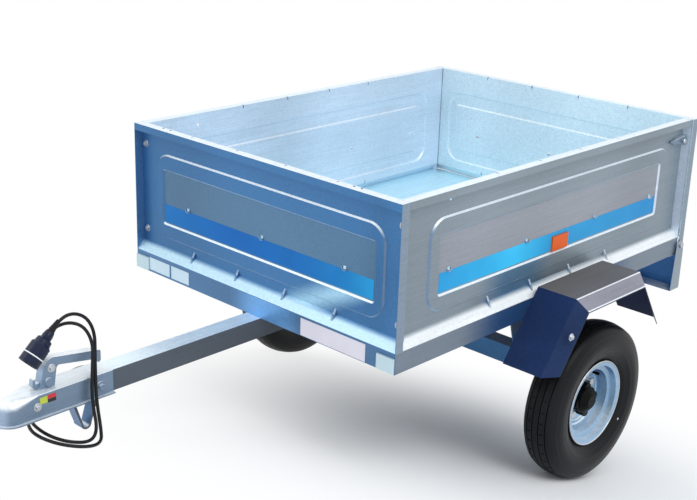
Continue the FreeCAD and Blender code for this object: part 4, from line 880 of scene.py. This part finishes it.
# %% A tyre on each wheel
def on_wheels(model, stem, material, slot, node=None):
    """Puts a copy of a piece, modelled on the wheel's own axis, on both wheels, and removes the model."""
    for side, sign in SIDES:
        piece = put(stem + "_" + side, model.data.copy())
        place = PARK @ Matrix.Translation((-WHEEL_BEHIND, sign * axle.y, axle.z))
        if sign < 0:
            place = place @ Matrix.Rotation(math.pi, 4, "Z")
        settle(piece, material, "wheel_" + side, slot, tip=place)
        if node:
            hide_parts(node + "_" + side)
    bpy.data.objects.remove(model)


on_wheels(tyre, "tyre_tread", tyre_rubber, "tyre_rubber", "tyre")
print("tyres", round(TYRE_RADIUS * 2000), "mm across")

# %% [markdown]
# A rolled bead runs along the rim's lip and shows as the bright ring round the wheel. A torus would be the
# quick way to it, but here it has to sit exactly in the corner between rim and tyre. So a small circle is
# written as a section at that place and spun, like the tyre.

# %% Rim lips
LIP_PLACE, LIP_RADIUS, BEAD_THICK, BEAD_CORNERS = 0.0366, 0.1126, 0.0021, 12
bead_section = []
for corner in range(BEAD_CORNERS + 1):
    turn = corner / BEAD_CORNERS * math.tau
    bead_section.append((LIP_PLACE + BEAD_THICK * math.cos(turn), LIP_RADIUS + BEAD_THICK * math.sin(turn)))
bead = spun("lip_model", bead_section, 96)
smooth(bead, 60)
on_wheels(bead, "rim_lip", bright_steel, "rim_silver")
print("bead", round(BEAD_THICK * 2000, 1), "mm thick")

# %% [markdown]
# A short rubber valve stem stands in the rim, and a pale paint dot on the tyre's side marks its lightest
# spot. Cylinders would do from afar, but a stem has a thick foot and a cap, and paint has a soft edge. Both
# are turned from a few points and moved to their place on the wheel, the dot to the tyre's bulging side. A
# solid turned piece starts and ends a tenth of a millimetre from its axis.

# %% Valve stems and paint dots
POLE = 0.0001
STEM_RADIUS, STEM_TURN, DOT_SHARE, DOT_WAY = 0.074, 0.6, 0.24, (-0.81, -0.59)
valve = spun("valve_model", [
    (-0.016, POLE), (-0.016, 0.0052), (-0.008, 0.0046), (-0.006, 0.0036), (0.004, 0.0034),
    (0.0045, 0.0042), (0.014, 0.0042), (0.0155, 0.0034), (0.0155, POLE)], 20)
valve.data.transform(Matrix.Translation((-STEM_RADIUS * math.sin(STEM_TURN), 0,
                                         STEM_RADIUS * math.cos(STEM_TURN))))
smooth(valve)
on_wheels(valve, "valve_stem", hub_black, "black_plastic")

dot_along, dot_radius = side_wall(DOT_SHARE)
dot = spun("dot_model", [(-0.0012, POLE), (-0.0012, 0.0034), (0.0004, 0.003), (0.0004, POLE)], 16)
dot.data.transform(Matrix.Translation((DOT_WAY[0] * dot_radius, dot_along, DOT_WAY[1] * dot_radius)))
on_wheels(dot, "balance_dot", plate_white, "white_plastic")
print("paint dot", round(dot_radius * 1000), "mm from the axle")

# %% [markdown]
# On the rim's disc sit four zinc nuts, between the lobes of the black hub cover. Each could be placed by
# hand, but they stand in a square round the axle, so their places follow from one distance. A helper stamps
# a template at a list of places and directions, and joins the copies, each with its own mesh, into one piece.

# %% Wheel nuts
STUD = 0.05 * math.cos(math.radians(45))
DISC_FRONT = axle.y - 0.012


def stamp(template, spots, name, material, body, slot):
    """Copies a template to each (point, direction) spot of the level trailer, as one joined piece."""
    copies = []
    for point, direction in spots:
        twin = put(name, template.data.copy())
        turn = Vector(direction).to_track_quat("Z", "Y").to_matrix().to_4x4()
        twin.data.transform(Matrix.Translation(point) @ turn)
        copies.append(twin)
    bpy.ops.object.select_all(action="DESELECT")
    for twin in copies:
        twin.select_set(True)
    bpy.context.view_layer.objects.active = copies[0]
    bpy.ops.object.join()
    copies[0].name = name
    return settle(copies[0], material, body, slot)


wheel_nut = hex_bolt(0.019, 0.012)
for side, sign in SIDES:
    spots = [((-WHEEL_BEHIND + across * STUD, sign * DISC_FRONT, axle.z + up * STUD), (0, sign, 0))
             for across in (-1, 1) for up in (-1, 1)]
    stamp(wheel_nut, spots, "wheel_nuts_" + side, bright_steel, "wheel_" + side, "zinc_pressing")
print("nuts at", round(STUD * 1000, 1), "mm from the axle both ways")

# %% [markdown]
# Where the cable enters the plug, a ribbed boot of soft rubber narrows down to the cable, so that it never
# kinks at the edge. The same boot, shorter, sits where the cable leaves the bar. The ribs could be rings on
# a cone, but in one mould they are one skin. So a section steps in and out along its length and is spun.

# %% Cable boots
PLUG_AT, PLUG_WAY = Vector((0.569, 0, 0.584)), Vector((0.024, 0, -0.023)).normalized()
PLUG = Matrix.Translation(PLUG_AT) @ PLUG_WAY.to_track_quat("Y", "Z").to_matrix().to_4x4()


def boot(name, place, long, wide, ribs):
    """A ribbed boot round the cable, from its wide end at the place to its thin end behind it."""
    profile = [(0.001, POLE), (0.001, wide)]
    for rib in range(ribs):
        share = rib / ribs
        radius = wide + (CABLE_DIAMETER * 0.56 - wide) * share
        along = -long * share
        profile += [(along - long * 0.5 / ribs, radius), (along - long * 0.55 / ribs, radius * 0.86),
                    (along - long * 0.95 / ribs, radius * 0.84)]
    profile += [(-long, CABLE_DIAMETER * 0.55), (-long, POLE)]
    piece = spun(name, profile, 28)
    smooth(piece)
    return settle(piece, cable_rubber, "trailer", "cable_rubber", tip=PARK @ place)


for name, place, long, wide, ribs in (
        ("plug_boot", PLUG, 0.030, 0.0088, 6),
        ("gland_boot", Matrix.Translation(CABLE_EXIT), 0.022, 0.0080, 4)):
    boot(name, place, long, wide, ribs)
    print(name, round(long * 1000), "mm long with", ribs, "ribs")

# %% [markdown]
# The plug has a thin white seal ring near its front, which is the one bright mark on it. It could be a band
# of white in the plug's material, but the real ring stands out a little and has its own edge. So it is a flat
# ring, turned from a closed section of four corners.

# %% Seal ring
ring = spun("plug_ring", [
    (0.0585, 0.0215), (0.0585, 0.0236), (0.061, 0.0238), (0.061, 0.0215), (0.0585, 0.0215)], 48)
smooth(ring)
settle(ring, white_ring, "trailer", "white_plastic", tip=PARK @ PLUG)
print("seal ring", len(ring.data.polygons), "faces")

# %% [markdown]
# The front rail carries three blank plates: a long pale one towards the near side and two small ones on the
# far side. A plain thin block would look like paper. A pressed plate has a rim, so the face of each is set
# back inside a narrow border.

# %% Plates
PLATE = 0.0012
rail_face = level_box("front_rail")[1].x
for name, material, y_low, y_high, z_low, z_high in (
        ("long", plate_white, 0.164, 0.371, 0.466, 0.509),
        ("middle", plate_cyan, -0.317, -0.246, 0.470, 0.504),
        ("far", plate_cyan, -0.407, -0.324, 0.470, 0.504)):
    plate = slab("rail_plate_" + name, (rail_face, y_low, z_low), (rail_face + PLATE, y_high, z_high))
    settle(framed(plate, (1, 0, 0), 0.0018, -0.0005), material, "trailer", "white_plastic")
    print("plate", name, round((y_high - y_low) * 1000), "mm long")

# %% [markdown]
# Three small coloured tags are stuck side by side on the coupling's cheek. They could share one piece with
# three colours, but they are three stickers with three edges. Each is a slab of film in its own colour,
# blank, with its face a hair below its border.

# %% Tags
COUPLING_SIDE = 0.031
for name, colour, x_low, x_high, z_low, z_high in (
        ("yellow", (196, 208, 60), 0.604, 0.622, 0.445, 0.460),
        ("red", (214, 40, 48), 0.583, 0.603, 0.452, 0.461),
        ("black", (26, 24, 24), 0.583, 0.603, 0.4435, 0.4515)):
    tag_film = moulded("tag_" + name, srgb(*colour), 0.3, spread=0.05, depth=0.00005)
    tag = slab("coupling_tag_" + name, (x_low, COUPLING_SIDE, z_low),
               (x_high, COUPLING_SIDE + FILM, z_high), FILM / 4)
    settle(framed(tag, (0, 1, 0), 0.001, -FILM / 3), tag_film, "trailer")
    print("tag", name, round((x_high - x_low) * 1000), "mm long")

# %% [markdown]
# Each rear lamp is a black housing with two lenses, amber outside for turning and red inside for stopping.
# It could be one block in three colours, but light has to catch the step between housing and lens. So the
# housing is a rounded slab with a tray pressed into its back, and each lens is a slab on that tray that is
# inset and drawn out in a low step, like the dome of moulded plastic.

# %% Rear lamps
LENS_DEEP, LENS_OUT, LENS_SUNK, LAMP_EDGE, AMBER_SHARE = 0.014, 0.006, 0.004, 0.005, 0.36
for side, sign in SIDES:
    lamp_low, lamp_high = level_box("rear_lamp_" + side)
    base = slab("lamp_housing_" + side, (lamp_low.x + LENS_DEEP, lamp_low.y, lamp_low.z), lamp_high, 0.003, 3)
    smooth(framed(base, (-1, 0, 0), 0.003, -0.003))
    settle(base, lamp_black, "trailer", "lamp_plastic")
    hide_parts("rear_lamp_" + side)
    outer, inner = (lamp_high.y, lamp_low.y) if sign > 0 else (lamp_low.y, lamp_high.y)
    split = outer + (inner - outer) * AMBER_SHARE
    for name, material, start, end in (("amber", lens_amber, outer, split), ("red", lens_red, split, inner)):
        y_low, y_high = sorted((start, end))
        lens_low = (lamp_low.x + LENS_OUT, y_low + LAMP_EDGE, lamp_low.z + LAMP_EDGE)
        lens_high = (lamp_low.x + LENS_DEEP + LENS_SUNK, y_high - LAMP_EDGE, lamp_high.z - LAMP_EDGE)
        lens = slab("lens_%s_%s" % (name, side), lens_low, lens_high, 0.0015, 2)
        smooth(framed(lens, (-1, 0, 0), 0.004, 0.004), 50)
        settle(lens, material, "trailer", "lamp_plastic")
print("lamps", round((lamp_high.y - lamp_low.y) * 1000), "mm wide")

# %% [markdown]
# Where steel meets steel there are bolts: in the folded ends of the front wall, in the guards, through the
# coupling and its lever, and where the bar meets the front rail. One could click each into place, but the
# left ones mirror the right ones. So each joint gives a place and a direction once, the template is stamped
# on both sides, and all the bolts of one kind are one piece.

# %% Bolts and screws
GUARD_SIDE = level_box("mudguard_left")[1].y
bolt_spots, screw_spots = [], []
for side, sign in SIDES:
    outwards = (0, sign, 0)
    bolt_spots.append(((0.470, sign * COUPLING_SIDE, 0.438), outwards))
    screw_spots += [((FRONT_SKIN, sign * 0.4435, height), (1, 0, 0)) for height in (0.800, 0.570)]
    screw_spots += [((-0.471, sign * GUARD_SIDE, 0.464), outwards),
                    ((0.628, sign * COUPLING_SIDE, 0.441), outwards),
                    ((0.578, sign * 0.011, 0.508), outwards), ((-0.018, sign * 0.030, 0.4645), (0, 0, 1))]
medium_bolt = hex_bolt(0.013, 0.006)
stamp(medium_bolt, bolt_spots, "frame_bolts", pressing_zinc, "trailer", "zinc_pressing")
stamp(small_bolt, screw_spots, "frame_screws", bright_steel, "trailer", "zinc_pressing")
print(len(bolt_spots), "bolts and", len(screw_spots), "screws")

# %% [markdown]
# The catches that hold the tailgate end in a round knob with a waist, where the fingers pull. A ball would
# be simpler, but a real knob is turned from bar and has a flat end. So it is turned here too, from seven
# points, and placed on each catch.

# %% Catch knobs
KNOB_BACK = 0.020
for side, sign in SIDES:
    catch_low, catch_high = level_box("tailgate_catch_" + side)
    skin = catch_high.y if sign > 0 else catch_low.y
    knob = spun("catch_knob_" + side, [
        (-0.004, POLE), (-0.004, 0.0042), (0.001, 0.0036), (0.003, 0.0058), (0.0065, 0.0064),
        (0.0085, 0.0052), (0.0092, POLE)], 24)
    smooth(knob)
    place = Matrix.Translation((catch_low.x + KNOB_BACK, skin, (catch_low.z + catch_high.z) / 2))
    if sign < 0:
        place = place @ Matrix.Rotation(math.pi, 4, "Z")
    settle(knob, bright_steel, "trailer", "zinc_pressing", tip=PARK @ place)
print("knobs with", len(knob.data.polygons), "faces")

# %% [markdown]
# In the top flange of the front wall are two pairs of small round holes, for a cover. A hole would be
# drilled, but the frame's meshes stay as they are. From where one stands, a small deep hole is only a spot
# of shade, so each is a paper-thin dark disc with a turned edge: painted shade.

# %% Flange holes as painted shade
HOLES_ACROSS, FLANGE_MIDDLE = (-0.365, -0.337, 0.301, 0.324), -0.020
flange_top = level_box("front_panel")[1].z
hole = spun("hole_model", [(-0.0006, POLE), (-0.0006, 0.0030), (0.0003, 0.0027), (0.0001, POLE)], 20)
hole.data.transform(Matrix.Rotation(math.pi / 2, 4, "X"))
stamp(hole, [((FLANGE_MIDDLE, across, flange_top), (0, 0, 1)) for across in HOLES_ACROSS],
      "flange_hole_shades", hub_black, "trailer", "dark_steel")
print(len(HOLES_ACROSS), "holes in the front flange")

# %% [markdown]
# The load floor ends where the tailgate's folded foot begins, and the fold runs away from it. A thin zinc
# strip on the rear rail closes that slot, so that sand doesn't trickle out. The floor could be made longer
# instead, but the tailgate needs the room to swing. The strip stays under the fold and clear of it.

# %% Sill strip
SILL_DEEP, SILL_INSET = 0.021, 0.004
floor_low, floor_high = level_box("floor_panel")
sill = slab("sill_strip", (floor_low.x - SILL_DEEP, floor_low.y + SILL_INSET, floor_low.z - 0.0004),
            (floor_low.x + 0.0005, floor_high.y - SILL_INSET, floor_low.z + 0.0012), 0.0002)
settle(sill, floor_zinc, "trailer", "galvanised_sheet")
print("sill strip", round(SILL_DEEP * 1000), "mm deep")

# %% [markdown]
# The trailer stands on a plain white floor. A big white plane alone would turn grey towards the horizon. So
# near the trailer it is white paint, which keeps the shadow, and farther out it fades into an even white
# glow for the camera and for reflections only. The light that falls on the trailer doesn't change by it.

# %% Floor
FLOOR_REACH, SHADOW_MIDDLE, SHADOW_NEAR, SHADOW_FAR = 60, (-0.4, 0.5, 0), 0.25, 1.3


def only_seen(tree):
    """1 for rays of the camera, of reflections and through glass, and 0 for the light on things."""
    paths = add_node(tree, "ShaderNodeLightPath").outputs
    mirrored = calculate(tree, "MAXIMUM", paths["Is Glossy Ray"], paths["Is Transmission Ray"])
    return calculate(tree, "MAXIMUM", paths["Is Camera Ray"], mirrored)


bpy.ops.object.select_all(action="DESELECT")
bpy.ops.mesh.primitive_plane_add(size=FLOOR_REACH)
floor = bpy.context.active_object
floor.name = "studio_floor"
floor_paint, tree, shader = new_material("floor_paint", gloss=0.0, roughness=0.9)
shader.inputs["Base Color"].default_value = (1, 1, 1, 1)
place = add_node(tree, "ShaderNodeTexCoord").outputs["Object"]
distance = add_node(tree, "ShaderNodeVectorMath", {0: place, 1: SHADOW_MIDDLE},
                    operation="DISTANCE").outputs["Value"]
far = calculate(tree, "MULTIPLY", only_seen(tree), fade(tree, distance, SHADOW_NEAR, SHADOW_FAR))
glow = add_node(tree, "ShaderNodeEmission", {"Color": (1, 1, 1, 1), "Strength": 1.0}).outputs[0]
mixed = add_node(tree, "ShaderNodeMixShader", {0: far, 1: shader.outputs[0], 2: glow}).outputs[0]
wire(tree, mixed, tree.nodes["Material Output"].inputs["Surface"])
floor.data.materials.append(floor_paint)
print("floor", FLOOR_REACH, "m wide, all white", SHADOW_FAR, "m from the shadow's middle")

# %% [markdown]
# The light of the studio comes from all round, a little blue, and from two large soft boxes. One strong lamp
# would give hard shadows and burn the zinc white. The world is a pale blue where it lights things, and plain
# white where it is seen or mirrored.

# %% World and soft boxes
world = bpy.data.worlds.new("studio")
bpy.context.scene.world = world
world.use_nodes = True
tree = world.node_tree
background = tree.nodes["Background"]
wire(tree, mix_colours(tree, only_seen(tree), (0.80, 0.84, 0.88, 1), (1, 1, 1, 1)),
     background.inputs["Color"])
background.inputs["Strength"].default_value = 1.0


def soft_box(name, place, target, size, power):
    """A square area lamp at a place, aimed at a target."""
    data = bpy.data.lights.new(name, "AREA")
    data.size = size
    data.energy = power
    lamp = put(name, data)
    lamp.location = place
    lamp.rotation_mode = "QUATERNION"
    lamp.rotation_quaternion = (Vector(target) - Vector(place)).to_track_quat("-Z", "Y")


for name, place, power in (("key", (1.5, 3.0, 4.0), 60), ("fill", (3.5, -2.0, 2.5), 25)):
    soft_box(name, place, (0, 0, 0.4), 2.5, power)
    print("soft box", name, power, "W")
bpy.context.scene.view_settings.view_transform = "Standard"

# %% [markdown]
# The bolt and hole templates were only patterns to copy from, so they go.

# %% Remove the templates
for template in (small_bolt, medium_bolt, wheel_nut, hole):
    bpy.data.objects.remove(template)
